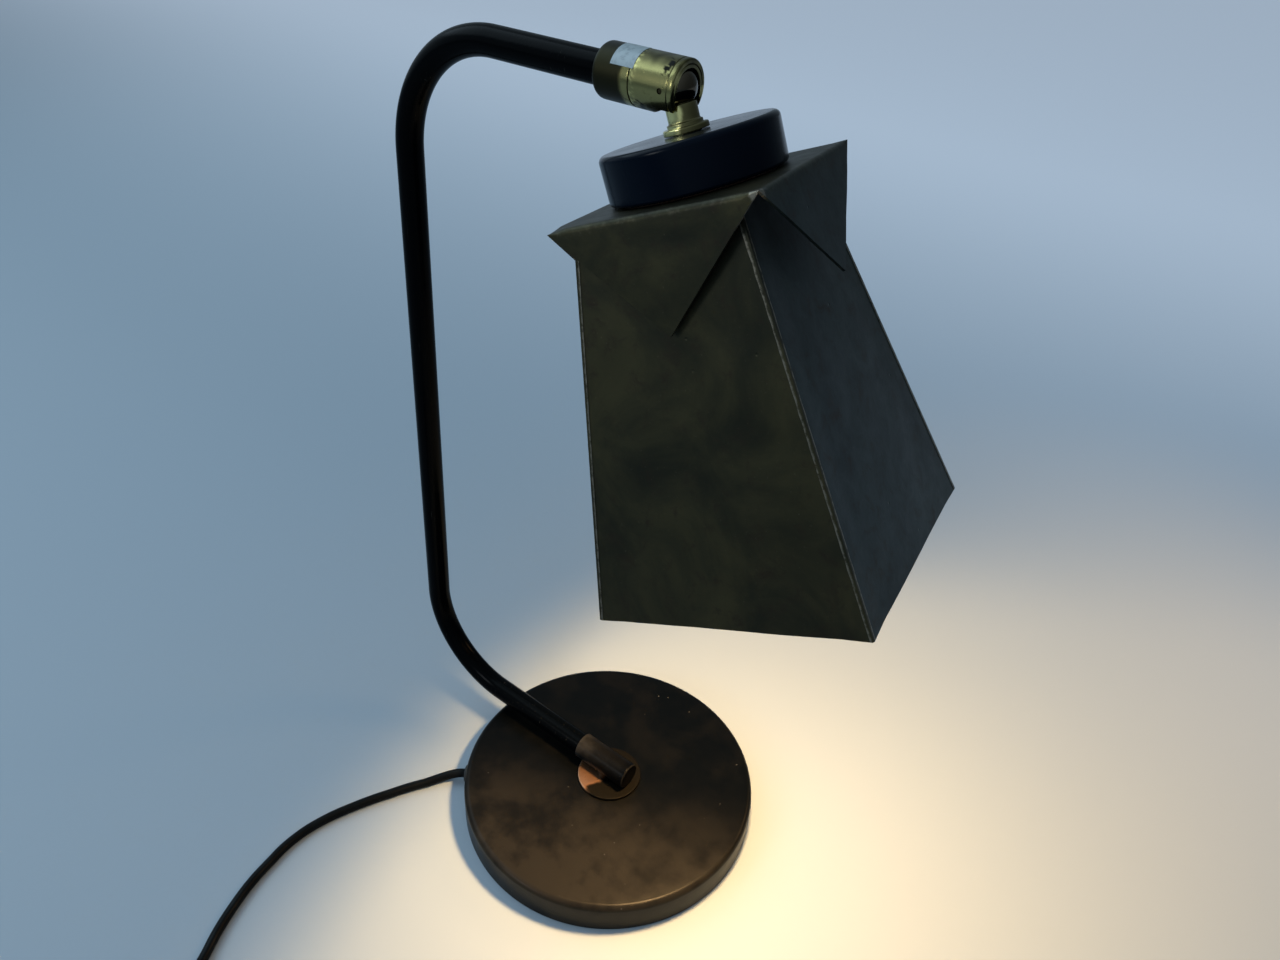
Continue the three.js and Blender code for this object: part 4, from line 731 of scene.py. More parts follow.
def plug_pieces():
    back = PLUG_HALF - 34
    shoulder = PLUG_HALF - 8
    neck_half = CORD_R + 2
    side = curve_between(
        Vector((back, neck_half)), Vector((back + 12, PLUG_HALF * 0.55)), Vector((shoulder, PLUG_HALF)),
    )
    ends = [(shoulder, PLUG_HALF), (PLUG_HALF, PLUG_HALF, 2), (PLUG_HALF, -PLUG_HALF, 2)]
    mirrored = [(p.x, -p.y) for p in reversed(side)]
    outline = rounded([*side, *ends, (shoulder, -PLUG_HALF), *mirrored])
    body = prism("mains_plug_body", outline, 0, PLUG_H, PLUG_FRAME, 2.4)
    middle = PLUG_H / 2
    port = rod_along_x("port", CORD_HOLE_R, back - 1, back + 3.3, PLUG_FRAME, middle)
    pin_places = (-PIN_HALF_SPACING, PIN_HALF_SPACING)
    socket_shape = (PIN_R + 0.3, PIN_START - 0.3, PLUG_HALF + 1, PLUG_FRAME, middle)
    body = carve(body, port, *(rod_along_x("socket", *socket_shape, across) for across in pin_places))
    pieces = [dress(body, "base", "switch_plastic", "plug_body")]
    bare_from = PLUG_HALF + SLEEVE_SHARE * (PIN_TIP - PLUG_HALF)
    outline = [
        (0, PIN_START), (PIN_R, PIN_START), (PIN_R, bare_from, 0.15), (PIN_R - 0.2, bare_from + 0.1),
        (PIN_R - 0.1, bare_from + 0.3), (PIN_R, PIN_TIP, 1.1), (0, PIN_TIP),
    ]
    for number, across in enumerate(pin_places, 1):
        axis = PLUG_FRAME @ Matrix.Translation((0, across, middle)) @ ALONG_X
        pin = lathe(f"mains_plug_pin_{number}", outline, axis, 32)
        pieces.append(dress(pin, "base", "zinc_steel", f"plug_pin_{number}"))
    return pieces


cord_pieces(switch_pieces(), plug_pieces())

# ---- foot

BASE_R = 80
BASE_TOP = 18.7
BASE_WALL = 1.2
FOOT_AXIS_Z = 28.5
SLEEVE_BACK = -19.5
SLEEVE_FRONT = 13.5
SLEEVE_SEAT = -7.3
SHEEN_SIDE = (0.35, -0.94)  # the way to the base's front edge, where a warm sheen is painted
WASHER_BRIGHT = radians(222)  # the way its bright side faces
GROMMET_FRAME = turn(CORD_HEADING, "Z") @ Matrix.Translation((0, 0, CORD_EXIT_Z)) @ ALONG_X
SLEEVE_FRAME = Matrix.Translation((0, 0, FOOT_AXIS_Z)) @ ALONG_X


def base_cover():
    under = BASE_TOP - BASE_WALL
    outline = [
        (BASE_R, 0.8, 0.4), (BASE_R, BASE_TOP, 3.2), (THREAD_HOLE_R, BASE_TOP, 0.3),
        (THREAD_HOLE_R, under), (BASE_R - BASE_WALL, under, 2), (BASE_R - BASE_WALL, 0.8, 0.3),
    ]
    cover = lathe("base_cover", outline, segments=192, step=4)
    cover = carve(cover, rod("hole", 4.2, 74, 86, GROMMET_FRAME))

    # Painted sheen: the worn colour grows towards the base's front edge, where warm light shines off it.
    def wear(point):
        return ease(-15, 75, point.x * SHEEN_SIDE[0] + point.y * SHEEN_SIDE[1])

    dress(cover, "base", "black_lacquer", "base_shell", wear=wear)


def felt_disc():
    outline = [(0, 0), (74, 0, 0.5), (74, 1.4, 0.5), (0, 1.4)]
    dress(lathe("felt_disc", outline, segments=160), "base", "felt", "felt_pad")


def cord_bush():
    outline = [(2.8, 77.6), (3.9, 77.6), (3.9, 80.3), (4.8, 80.3, 0.3), (4.8, 82, 0.8), (2.8, 82, 0.3)]
    dress(lathe("cord_bush", outline, GROMMET_FRAME, 48), "base", "grommet_rubber", "cord_grommet")


def stem_washer():
    outline = [(THREAD_HOLE_R, 19), (17.5, 19, 0.2), (17.5, 20.5, 0.55), (THREAD_HOLE_R, 20.5, 0.1)]
    washer = lathe("stem_washer", outline, segments=128, step=1.5)

    def dull(point):
        """The washer is bright on one side and darker round the rest."""
        off = abs(remainder(atan2(point.y, point.x) - WASHER_BRIGHT, tau))
        return ease(0.45, 0.8, off + 0.35 * noise(point / 5))

    dress(washer, "base", "copper_brass", "foot_washer", tarnish=dull)


def arm_sleeve():
    outline = [
        (0, SLEEVE_SEAT), (6.3, SLEEVE_SEAT), (6.3, SLEEVE_BACK, 0.2), (7, SLEEVE_BACK, 0.35),
        (7, SLEEVE_FRONT, 0.9), (0, SLEEVE_FRONT),
    ]
    sleeve = lathe("arm_sleeve", outline, SLEEVE_FRAME, 96)
    boss = lathe("boss", [(0, 20.8), (6.6, 20.8, 0.4), (6.6, FOOT_AXIS_Z), (0, FOOT_AXIS_Z)], segments=96)
    sleeve = carve(sleeve, boss, operation="UNION")

    def wear(point):
        """Both rims are lighter, the open one more: a painted highlight where light catches them."""
        rim = ease(6.1, 6.7, hypot(point.y, point.z - FOOT_AXIS_Z))
        return rim * max(0.35 * ease(12.7, 13.2, point.x), ease(-18.9, -19.3, point.x))

    dress(sleeve, "base", "sleeve_lacquer", "foot_sleeve", slot="black_lacquer", wear=wear)


base_cover()
felt_disc()
cord_bush()
stem_washer()
arm_sleeve()

# ---- arm

ARM_START = -7.6
FOOT_RUN = 83
LOW_BEND = (49.6, 91.1)  # radius and angle
UPRIGHT = 255.7
TOP_BEND = (52.9, 88.9)
TOP_RUN = 55.1 + 6.7  # to the bottom of the joint's socket
ARM_RUNS = [  # straight length, bend radius, bend angle and steps
    (FOOT_RUN + ARM_START, 0, 0, 12), (0, *LOW_BEND, 48), (UPRIGHT, 0, 0, 24), (0, *TOP_BEND, 48),
    (TOP_RUN, 0, 0, 12),
]


def arm_stations():
    """Frames along the arm, each with its Z ahead: along the foot, up, and over with clockwise bends."""
    heading = pi
    place = Vector((ARM_START, 0, FOOT_AXIS_Z))
    for length, radius, angle, steps in ARM_RUNS:
        half = radians(angle) / steps / 2
        stride = length / steps + 2 * radius * sin(half)
        for _ in range(steps):
            yield Matrix.Translation(place) @ turn(pi / 2 - heading, "Y")
            heading -= half
            place = place + Vector((cos(heading), 0, sin(heading))) * stride
            heading -= half
    yield Matrix.Translation(place) @ turn(pi / 2 - heading, "Y")


def bent_arm():
    bm = bmesh.new()
    section = circle(TUBE_R, 64)
    loft(bm, [[bm.verts.new(station @ p.to_3d()) for p in section] for station in arm_stations()])
    dress(mesh_object("bent_arm", bm), "base", "arm_lacquer", "arm_tube", slot="black_lacquer")


bent_arm()

# ---- joint

JOINT_AXIS = JOINT @ ALONG_X
COLLAR_BACK = -29.5
COLLAR_FRONT = -13.5
HOUSING_BACK = -13.2
MOUTH = 5.0


def along_joint(point):
    """Reach along the joint's axis, in front of the ball's centre."""
    return (point - BALL).x


def angle_round_joint(point):
    """Degrees up from the joint's -Y side."""
    across = point - BALL
    return degrees(atan2(across.z, -across.y))


def near(angle, middle, width):
    return ease(1, 0.5, abs(angle - middle) / width)


def tarnished_collar():
    outline = [
        (6.3, COLLAR_BACK, 0.2), (JOINT_R, COLLAR_BACK, 1.7), (JOINT_R, COLLAR_FRONT, 0.25),
        (7.4, COLLAR_FRONT), (7.4, -11.2), (6.4, -11.2), (6.4, -18.5), (4.65, -18.5), (4.65, -22.5),
        (6.3, -22.5),
    ]
    collar = lathe("tarnished_collar", outline, JOINT_AXIS, 128, step=0.7)

    def tarnish(point):
        edge = -16.2 + 1.1 * noise(point / 4)
        return 0.95 * ease(edge + 0.9, edge - 1.3, along_joint(point))

    dress(collar, "joint", "joint_brass", "joint_collar", tarnish=tarnish)


def housing():
    outline = [
        (JOINT_BORE_R, HOUSING_BACK), (JOINT_R, HOUSING_BACK, 0.3), (JOINT_R, 2.5, 0.15),
        (JOINT_R - 0.3, 2.75, 0.15), (JOINT_R, 3.0, 0.15), (JOINT_R, MOUTH, 0.9), (8.0, MOUTH, 0.1),
        (7.75, MOUTH - 0.4, 0.1), (7.5, MOUTH, 0.1), (6.4, MOUTH, 0.25), (6.4, 4.0), (JOINT_BORE_R, 3.4),
    ]
    shell = lathe("joint_shell", outline, JOINT_AXIS, 128, step=0.9)
    slot = arc(SLOT_HALF, pi / 2, 3 * pi / 2, 24)
    slot += [Vector((MOUTH + 2, -SLOT_HALF)), Vector((MOUTH + 2, SLOT_HALF))]
    screw_hole = rod("hole", 1, 0, 20, JOINT @ turn(pi / 2, "X"), 24)
    shell = carve(shell, prism("slot", slot, -2 * JOINT_R, 0, JOINT), screw_hole)
    shade(settle(soften(shell, 0.22)), 35)

    def wear(point):
        flecks = noise(point / 0.9) > 0.1
        near_seam = ease(3.4, 0.4, along_joint(point) - HOUSING_BACK)
        return 0.9 * near_seam * flecks

    def tarnish(point):
        """Spots in two clusters, over the mouth and under the seam; broad tarnish that leaves a band facing
        -Y bright as a painted highlight; painted shade on the underside; and a darker top that is partly
        brown patina and partly painted shade.
        """
        reach, around = along_joint(point), angle_round_joint(point)
        over_mouth = ease(-2.5, 1.5, reach) * ease(2.7, 2.3, reach) * near(around, 50, 38)
        under_seam = ease(-6.5, -9, reach) * near(around, -52, 30)
        spots = 0.5 + noise(point / 1.5) + 0.5 * noise(point / 0.7)
        # Broad tarnish, left off the band facing -Y: that band is a painted highlight.
        tarnish_off_lit_band = 0.4 * ease(0.1, 0.5, noise(point / 5)) * (1 - near(around, 5, 50))
        # Painted shade: darker on the joint's underside.
        low = 0.75 * ease(20, 75, -around) * (around > -150)
        # Darker top: partly brown patina, partly painted shade against the bright reflection there.
        top = (0.66 + 0.3 * noise(point / 3)) * ease(30, 58, around)
        return max(ease(0.42, 0.56, spots * max(over_mouth, under_seam)), tarnish_off_lit_band, low, top)

    dress(shell, "joint", "joint_brass", "joint_housing", wear=wear, tarnish=tarnish)


def blank_label():
    """A blank paper label wrapped over the top of the joint."""
    bm = bmesh.new()
    columns = [-21.8 + 9.7 * k / 16 for k in range(17)]
    outer, inner = (
        [[bm.verts.new((x, p.x, p.y)) for x in columns] for p in arc(radius, radians(80), radians(151), 40)]
        for radius in (JOINT_R + 0.02, JOINT_R + 0.14)
    )
    close_layers(bm, outer, inner)
    dress(mesh_object("blank_label", bm, JOINT), "joint", "label", slot="joint_brass")


def grid_faces(bm, grid):
    for here, there in zip(grid, grid[1:]):
        for k in range(len(here) - 1):
            bm.faces.new((here[k], here[k + 1], there[k + 1], there[k]))


def rim_of(grid):
    """The vertices round a grid's edge, in order."""
    right = [line[-1] for line in grid[1:-1]]
    left = [line[0] for line in grid[1:-1]]
    return [*grid[0], *right, *reversed(grid[-1]), *reversed(left)]


def close_layers(bm, outer, inner):
    """A closed sheet from two grids of the same size."""
    grid_faces(bm, outer)
    grid_faces(bm, inner)
    bridge(bm, rim_of(outer), rim_of(inner))


def friction_ball():
    flat = 5.4
    outline = [(0, -BALL_R), *arc(BALL_R, -pi / 2, asin(flat / BALL_R), 32)[1:]]
    outline += [(3.3, flat), (3.3, -2.4), (0, -2.4)]
    dress(lathe("friction_ball", outline, HEAD_DOWN, 96), "ball", "ball_brass", "ball", slot="dark_brass")


def neck_stem():
    outline = [
        (2, -1.8), (3, -1.8), (3, 5.7), (NECK_R, 5.7, 0.35), (NECK_R, 11.1, 0.5), (5.8, 11.4, 0.2),
        (6.3, 11.5, 0.35), (6.3, 12.7, 0.2), (8, 12.7, 0.6), (8, 14.7, 0.2), (4.95, 14.7),
        (4.95, 48.1, 0.4), (2, 48.1),
    ]
    stem = lathe("neck_stem", outline, HEAD_DOWN, 96, step=1.5)
    lift = HEAD_DOWN.inverted()

    def tarnish(point):
        """Darker down the stem's sides, leaving a light stripe towards -Y, which is painted shade and a
        painted highlight, and brown grooves round its rings.
        """
        place = lift @ point
        side = (HEAD_DOWN.to_3x3() @ Vector((place.x, place.y, 0))).normalized()
        off = degrees(atan2(side.x, -side.y)) + 40 * noise(point / 6)
        # Painted shade down both sides, and a painted highlight stripe between them.
        side_shade = 0.85 * (1 - near(off, -12, 44))
        return max(side_shade, 0.6 * ease(10.6, 11.2, place.z) * ease(12, 11.5, place.z))

    dress(stem, "head", "neck_brass", "neck", slot="joint_brass", tarnish=tarnish)


tarnished_collar()
housing()
blank_label()
friction_ball()
neck_stem()

# ---- cap and crown plate

CAP_TOP = 15.0
CAP_FOOT = 31.9
CAP_R = 31.6
CAP_WALL = 2.5
HEAD_SIDES = ("right", "back", "left", "front")  # the first one faces the head's +X
FLAPS = {"right": (37.2, 9.3), "back": (40, 3.2), "left": (40, 2.4), "front": (40.2, 1.5)}
FOLD_R = 2.0
CORNER_TAPER = 5.0  # length over which a fold tightens towards a corner
PINCH = 1.0  # how far the front left corner droops
PLATE_STEPS = 56  # along each side of the crown plate


def cap_shell():
    outline = [
        (THREAD_HOLE_R, CAP_TOP, 0.2), (CAP_R, CAP_TOP, 2.2), (CAP_R, CAP_FOOT, 1.2),
        (CAP_R - CAP_WALL, CAP_FOOT, 0.4), (CAP_R - CAP_WALL, CAP_TOP + 3, 0.5), (THREAD_HOLE_R, CAP_TOP + 3),
    ]
    dress(lathe("cap_shell", outline, HEAD_DOWN, 192), "head", "black_gloss", "cap")


def shade_outline(drop):
    """Half of the shade's side, and its centre, at a drop below the ball."""
    share = (drop - SHADE_TOP) / SHADE_LENGTH
    half = SHADE_TOP_HALF + (SHADE_BOTTOM_HALF - SHADE_TOP_HALF) * share
    return half, Vector(SHADE_TOP_SHIFT).lerp(Vector(SHADE_BOTTOM_SHIFT), share)


def side_angle(side):
    return tau * HEAD_SIDES.index(side) / len(HEAD_SIDES)


def face_reach(side, drop):
    half, centre = shade_outline(drop)
    angle = side_angle(side)
    return half + centre.x * cos(angle) + centre.y * sin(angle)


def fold_angle(side):
    """How far the sheet turns at a flap's fold."""
    length, lift = FLAPS[side]
    tip_reach = face_reach(side, CROWN_TOP + length) + lift + SHEET_T
    return pi / 2 - asin((tip_reach - CROWN_HALF) / length)


def fold_run(side, along):
    """Radius of a fold, and the length it takes from each face, at a share of its length."""
    radius = FOLD_R * min(1.0, (1 - abs(along)) * CROWN_HALF / CORNER_TAPER)
    return radius, radius * tan(fold_angle(side) / 2)


def shares(count):
    """Shares from -1 to 1, closer together towards both ends."""
    places = [2 * k / count - 1 for k in range(count + 1)]
    return [copysign(1 - (1 - abs(t)) ** 1.5, t) for t in places]


def ripple(x, y, z, size=24.0, depth=0.3):
    """How far old sheet metal bulges at a place."""
    place = Vector((x, y, z))
    return depth * abs(noise(place / size)) + 0.12 * depth * noise(place / 6)


def crown_plate_points():
    """The flat of the crown plate: each point with its wear."""
    half = CROWN_HALF
    for u in shares(PLATE_STEPS):
        line = []
        for v in shares(PLATE_STEPS):
            run_x = fold_run("right" if u > 0 else "left", v)[1]
            run_y = fold_run("back" if v > 0 else "front", u)[1]
            x = u * half - copysign(abs(u) ** 8 * run_x, u)
            y = v * half - copysign(abs(v) ** 8 * run_y, v)
            inside = half - max(abs(x), abs(y))
            bulge = ripple(x, y, 0) * ease(1, 9, inside)
            line.append((Vector((x, y, CROWN_TOP - bulge)), 0.35 * ease(3.0, 0.8, inside)))
        yield line


def flap_points(side):
    """A fold and its flap, from the plate's edge to the tip: each point with its wear."""
    length = FLAPS[side][0]
    bend = fold_angle(side)
    turned = turn(side_angle(side), "Z")
    half = CROWN_HALF
    fold_steps, rows = 6, 30
    for step in range(fold_steps + rows + 1):
        line = []
        for along in shares(PLATE_STEPS):
            radius, run = fold_run(side, along)
            if step <= fold_steps:
                share = step / fold_steps
                angle = bend * share
                reach = half - run + radius * sin(angle)
                drop = radius * (1 - cos(angle))
                down = run * share
                worn = 0.42
            else:
                down = run + (length - run) * (step - fold_steps) / rows
                y = along * half * (1 - down / length)
                bulge = ripple(half, y, down + 40 * side_angle(side)) * ease(0, 6, down)
                reach = half + down * cos(bend) + bulge
                drop = down * sin(bend)
                beside = (1 - abs(along)) * half * (1 - down / length) * 0.7
                scraped = ease(-0.1, 0.5, -along) * ease(1.1, 0.2, abs(down - run - 0.8))
                scraped *= 0.45 * (side == "front")
                worn = max(scraped, 0.3 * ease(0.9, 0.15, beside))
            y = along * half * (1 - down / length)
            line.append((turned @ Vector((reach, y, CROWN_TOP + drop)), worn))
        yield line


def crown():
    """The folded crown plate as one sheet, with rounded folds and four free flaps."""
    bm = bmesh.new()
    wear, cool = map(bm.verts.layers.float.new, ("wear", "cool"))
    pinched = Vector((-CROWN_HALF, -CROWN_HALF, CROWN_TOP))
    polished = Vector((CROWN_HALF, -CROWN_HALF, CROWN_TOP))
    for lines in (crown_plate_points(), *map(flap_points, HEAD_SIDES)):
        grid = []
        for line in lines:
            grid.append([])
            for place, worn in line:
                droop = PINCH * ease(9, 0, (place - pinched).length)
                vertex = bm.verts.new(place + Vector((droop * 0.5, droop * 0.5, droop)))
                vertex[wear] = max(worn, 3 * ease(5, 0.8, (place - polished).length))
                # The right and back flaps get the painted blue reflection.
                vertex[cool] = ease(CROWN_HALF - 1.5, CROWN_HALF + 1.5, max(place.x, place.y))
                grid[-1].append(vertex)
        grid_faces(bm, grid)
    bmesh.ops.remove_doubles(bm, verts=bm.verts, dist=1e-3)
    sheet = mesh_object("crown_sheet", bm, HEAD_DOWN, 40)
    face_outwards(sheet, HEAD_DOWN @ Vector((0, 0, CROWN_TOP + 20)))
    shade(settle(modify(sheet, "sheet", "SOLIDIFY", thickness=SHEET_T * MM, offset=-1)), 40)
    dress(soften(sheet, 0.2), "head", "patina_sheet", "crown_plate")


def face_outwards(piece, inside):
    """Turns an open sheet's faces away from a point inside it."""
    bm = bmesh.new()
    bm.from_mesh(piece.data)
    balance = sum(f.normal.dot(f.calc_center_median() / MM - inside) * f.calc_area() for f in bm.faces)
    if balance < 0:
        bmesh.ops.reverse_faces(bm, faces=bm.faces)
    bm.to_mesh(piece.data)
    bm.free()


cap_shell()
crown()

# ---- shade

SHADE_SEAM = 0.15
TAB_WIDTH = 12


def panel_corner(side, drop, inset, along, across=0.0):
    """A point of one side's panel in the head's frame: along runs from -1 to 1 between its edges."""
    half, centre = shade_outline(drop)
    turned = turn(side_angle(side), "Z")
    local = turned.inverted() @ Vector((*centre, 0))
    reach = half - inset
    x = local.x + reach - across
    y = local.y + along * (reach - SHADE_SEAM - across)
    return turned @ Vector((x, y, drop))


def panel(side):
    """One bent-tabbed panel of the shade, slightly wavy, with rubbed edges."""
    bm = bmesh.new()
    wear, inside, cool = map(bm.verts.layers.float.new, ("wear", "inside", "cool"))
    outward = turn(side_angle(side), "Z") @ Vector((1, 0, 0))
    rows = 56
    layers = [[], []]
    for layer, inset in zip(layers, (0, SHEET_T)):
        for row in range(rows + 1):
            down = 1 - (1 - row / rows) ** 1.3
            drop = SHADE_TOP + SHADE_LENGTH * down
            layer.append([])
            for along in shares(36):
                edge = shade_outline(drop)[0] * (1 - abs(along))
                flat = panel_corner(side, drop, inset, along)
                bulge = (2 * ripple(*flat, size=46.0) - 0.5) * ease(0, 14, edge)
                vertex = bm.verts.new(flat + outward * bulge)
                foot = SHADE_LENGTH * (1 - down)
                vertex[wear] = max(0.35 * ease(1.0, 0.1, edge), 0.6 * ease(1.0, 0.1, foot))
                vertex[inside] = inset > 0
                # The right and back panels get the painted blue reflection.
                vertex[cool] = side in ("right", "back")
                layer[-1].append(vertex)
    close_layers(bm, *layers)
    tab = [(-1, 0.0), (1, 0.0), (1, TAB_WIDTH), (-1, TAB_WIDTH)]
    loft(bm, [
        [bm.verts.new(panel_corner(side, drop, SHEET_T / 2, along, across)) for along, across in tab]
        for drop in (SHADE_TOP, SHADE_TOP + SHEET_T)
    ])
    piece = mesh_object(f"shade_{side}", bm, HEAD_DOWN, 40)
    dress(soften(piece, 0.15, 38), "head", "patina_sheet", f"shade_panel_{side}")


def solder_seams():
    """A thin strip soldered over each corner of the shade, scraped bright along both of its edges."""
    leg, thick = 1.25, 0.22
    section = [(thick, -leg), (thick, -0.2), (0.16, 0.16), (-0.2, thick), (-leg, thick)]
    section += [(-leg, -0.05), (-0.05, -0.05), (-0.05, -leg)]
    edges = (0, 4, 5, 7)
    steps = 150
    for number, side in enumerate(HEAD_SIDES):
        bm = bmesh.new()
        wear = bm.verts.layers.float.new("wear")
        turned = turn(side_angle(side), "Z")
        rings = []
        for step in range(steps + 1):
            drop = SHADE_TOP + 1 + (SHADE_LENGTH - 1.4) * step / steps
            half, centre = shade_outline(drop)
            swell = 1 + 0.16 * noise(Vector((number * 9, 0, drop / 4))) + 0.35 * exp(-step / 12)
            rings.append([])
            for k, (x, y) in enumerate(section):
                corner = turned @ Vector((half + x * swell, half + y * swell, 0))
                vertex = bm.verts.new(corner + Vector((*centre, drop)))
                vertex[wear] = 1.5 if k in edges else 0.2
                rings[-1].append(vertex)
        loft(bm, rings)
        dress(mesh_object(f"solder_seam_{number + 1}", bm, HEAD_DOWN, 50), "head", "patina_sheet")


for head_side in HEAD_SIDES:
    panel(head_side)
solder_seams()

# ---- lampholder and bulb

BULB_R = 22.5
HOLDER_R = 14
HOLDER_BORE_R = 12.4
SOCKET_R = 7.95
CAP_THREAD_R = 6.9
BULB_CENTRE = 113.0
GLASS_TOP = 85.5
THREAD_PITCH = 2.8
BULB_POWER = 7.6
BULB_LIGHT_DROP = 150
BULB_LIGHT_SPREAD = radians(132)


def new_light(name, kind, place, target, power, colour, **settings):
    """A light at a place in metres, facing a target, that isn't seen itself."""
    data = assign(bpy.data.lights.new(name, kind), energy=power, color=colour, **settings)
    aim = (Vector(target) - Vector(place)).to_track_quat("-Z", "Y").to_euler()
    return new_object(name, data, location=place, rotation_euler=aim, visible_camera=False)


def clamp_pieces():
    washer = [(THREAD_HOLE_R, 35.3), (24.5, 35.3, 0.3), (24.5, 36.8, 0.5), (THREAD_HOLE_R, 36.8)]
    dress(lathe("clamp_washer", washer, HEAD_DOWN, 128), "head", "zinc_steel", "clamp_disc")
    flats = 14
    corner_r = flats / sqrt(3)
    low, high = 37.1, 41.1
    nut = prism("neck_hexagon", circle(corner_r, 6), low, high, HEAD_DOWN)
    turned = [
        (THREAD_HOLE_R, low - 1), (corner_r + 0.1, low - 1), (corner_r + 0.1, high - 0.7),
        (flats / 2 - 0.3, high, 0.1), (THREAD_HOLE_R, high, 0.4),
    ]
    nut = carve(nut, lathe("chamfer", turned, HEAD_DOWN, 96), operation="INTERSECT")
    dress(soften(nut, 0.15), "head", "neck_brass", "neck_nut", slot="joint_brass")


def holder_pieces():
    dome = [
        (THREAD_HOLE_R, 41.4), (8.3, 41.4, 0.6), (12.5, 48.4, 3), (HOLDER_R, 50.4, 1),
        (HOLDER_R, 53.2, 0.2), (HOLDER_R - 0.3, 53.5, 0.1), (HOLDER_R, 53.8, 0.2), (HOLDER_R, 55.1, 0.3),
        (HOLDER_BORE_R, 55.1), (HOLDER_BORE_R, 50.4), (6.8, 44.5), (THREAD_HOLE_R, 44.5),
    ]
    dress(lathe("holder_dome", dome, HEAD_DOWN, 96), "head", "holder_plastic", "holder_cap")
    skirt = [(HOLDER_BORE_R, 55.4), (HOLDER_R, 55.4, 0.3)]
    for groove in range(4):
        drop = 60 + 5.5 * groove
        skirt += [(HOLDER_R, drop, 0.1), (HOLDER_R - 0.4, drop + 0.4, 0.1), (HOLDER_R, drop + 0.8, 0.1)]
    skirt += [(HOLDER_R, 84.6, 0.4), (HOLDER_R - 0.5, 85.4, 0.3), (HOLDER_BORE_R, 85.4, 0.3)]
    dress(lathe("holder_barrel", skirt, HEAD_DOWN, 96), "head", "holder_plastic", "holder_skirt")
    insert = [(2, 55.7), (12.1, 55.7, 0.4), (12.1, 64.7, 0.6), (2, 64.7, 0.3)]
    dress(lathe("holder_ceramic", insert, HEAD_DOWN, 96), "head", "porcelain", "holder_insert")
    bore = SOCKET_R - 0.7
    outline = [(bore, 65), (SOCKET_R, 65), *thread_points(SOCKET_R, 67, 82, 0.25)]
    outline += [(SOCKET_R, 83, 0.2), (bore, 83, 0.2)]
    socket = lathe("threaded_socket", outline, HEAD_DOWN, 64)
    dress(socket, "head", "neck_brass", "socket_shell", slot="joint_brass")


def thread_points(radius, start, end, depth):
    """The rolled rings of a lamp thread's profile."""
    for ring in range(int((end - start) / THREAD_PITCH)):
        drop = start + ring * THREAD_PITCH
        yield radius, drop, 0.5
        yield radius - depth, drop + THREAD_PITCH / 2, 0.5


def bulb_pieces():
    cap = [(0, 68.2), (6.2, 68.2, 0.6), *thread_points(CAP_THREAD_R, 69.4, 82, 0.5)]
    cap += [(CAP_THREAD_R, 83.2, 0.4), (CAP_THREAD_R, 85.2, 0.3), (0, 85.2)]
    dress(lathe("bulb_thread", cap, HEAD_DOWN, 64), "head", "zinc_steel", "bulb_cap")
    glass = [(0, GLASS_TOP), (6.6, GLASS_TOP), (8.2, 89.5, 3)]
    glass += [(p.x, BULB_CENTRE + p.y) for p in arc(BULB_R, -pi / 3, pi / 2, 40)[:-1]]
    glass.append((0, BULB_CENTRE + BULB_R))
    bulb = lathe("lit_bulb", glass, HEAD_DOWN, 96)
    lift = HEAD_DOWN.inverted()
    dress(bulb, "head", "opal_glass", "bulb_glass", glow=lambda p: ease(GLASS_TOP, BULB_CENTRE, (lift @ p).z))


def bulb_light():
    """A spot that reaches only to the shade's rim, so that the shade's inside doesn't burn out."""
    place, below = (HEAD_DOWN @ Vector((0, 0, share * BULB_LIGHT_DROP)) * MM for share in (1, 2))
    light = new_light(
        "bulb_light", "SPOT", place, below, BULB_POWER, (1.0, 0.62, 0.27), spot_size=BULB_LIGHT_SPREAD,
        spot_blend=0.4, shadow_soft_size=0.018,
    )
    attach(light, "head")


clamp_pieces()
holder_pieces()
bulb_pieces()
bulb_light()

# ---- finishes of the CAD nodes that are shown

KEPT = {
    "cast_iron": ["base_weight"],
    "zinc_steel": [
        "bottom_plate", "plate_screw_1", "plate_screw_2", "plate_screw_3", "foot_nut", "lock_washer",
        "friction_spring", "clamp_screw_1", "clamp_screw_2",
    ],
    "neck_brass": ["foot_nipple", "arm_end_nipple", "lock_ring", "friction_cup", "centre_contact"],
    "dark_brass": ["side_screw"],
    "fibre": ["cap_ring"],
    "wire_sleeve": ["arm_wire", "head_wire"],
    "porcelain": ["terminal_block"],
    "holder_plastic": ["cord_clamp", "bulb_tip"],
    "cord_rubber": ["inner_lead"],
}

for kept_finish, kept_nodes in KEPT.items():
    for kept_node in kept_nodes:
        materials = frame["nodes"][kept_node].data.materials
        materials.clear()
        materials.append(FINISHES[kept_finish])

# ---- table, room and light

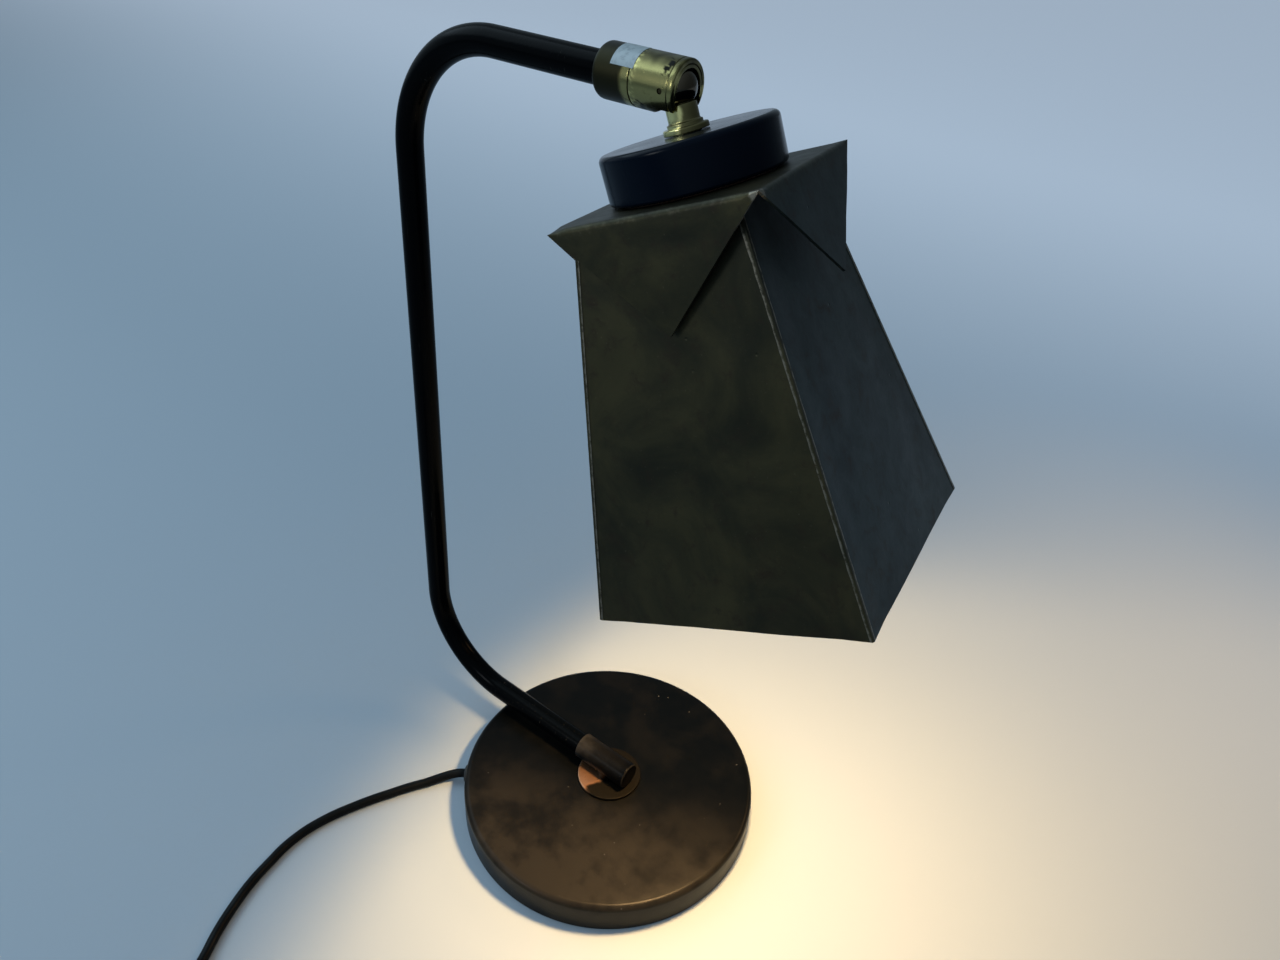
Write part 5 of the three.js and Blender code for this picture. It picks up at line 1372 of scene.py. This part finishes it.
TABLE_HALF = 6000
TABLE_COLOUR = (0.31, 0.37, 0.43)
TABLE_SMEARS = (0.28, 0.34, 0.40)
FAR_COLOUR = (0.60, 0.68, 0.76)
BACKDROP_GLOW = (0.15, 0.15, 0.17)
ROOM_COLOUR = (0.64, 0.84, 1.0)
ROOM_LEVELS = (0.16, 0.62)  # on the far side, and overhead in front
ROOM_BRIGHT_SIDE = Vector((-0.6, -0.6, 0.53))


def table():
    bm = bmesh.new()
    bmesh.ops.create_grid(bm, x_segments=4, y_segments=4, size=TABLE_HALF)
    top = mesh_object("table", bm)
    f = finish("table", Specular_IOR_Level=0.3, Roughness=0.55, Emission_Color=BACKDROP_GLOW)
    far = f.fade(f.node("SeparateXYZ", "Y", Vector=f.coordinates), 0.1, 1.5)
    tone = f.blend(f.times(f.noise(60, 3), 0.08), TABLE_COLOUR, TABLE_SMEARS)
    seen = f.math("MAXIMUM", *(f.node("LightPath", f"Is {ray} Ray") for ray in ("Camera", "Glossy")))
    f.set(Base_Color=f.blend(far, tone, FAR_COLOUR), Emission_Strength=f.times(seen, far))
    top.data.materials.append(FINISHES["table"])


def room():
    scene = bpy.context.scene
    scene.world = bpy.data.worlds.new("room")
    scene.view_settings.view_transform = "Standard"
    f = Look(scene.world, "Background", "Generated")
    facing = f.node("VectorMath", "Value", operation="DOT_PRODUCT", i0=f.coordinates, i1=ROOM_BRIGHT_SIDE)
    f.set(Color=ROOM_COLOUR, Strength=f.between(f.fade(facing, -0.8, 0.9), *ROOM_LEVELS))


def room_lights():
    """Two soft lights, and the lamp's own light as the room throws it back beside and behind the lamp."""
    lamp = (0, 0, 0.2)
    window = {"shape": "SQUARE", "size": 1.3}
    new_light("window", "AREA", (-1.2, -0.3, 1.4), lamp, 10.6, (0.66, 0.86, 1.0), **window)
    front = {"shape": "SQUARE", "size": 0.35}
    new_light("front", "AREA", (-0.4, -1.2, 0.76), lamp, 3.5, (0.92, 0.97, 1.0), **front)
    spill = {"spot_size": radians(52), "spot_blend": 1.0, "shadow_soft_size": 0.15}
    new_light("spill", "SPOT", (0.45, 0.75, 0.6), (0.2, 0.27, 0), 15, (1.0, 0.60, 0.26), **spill)


table()
room()
room_lights()
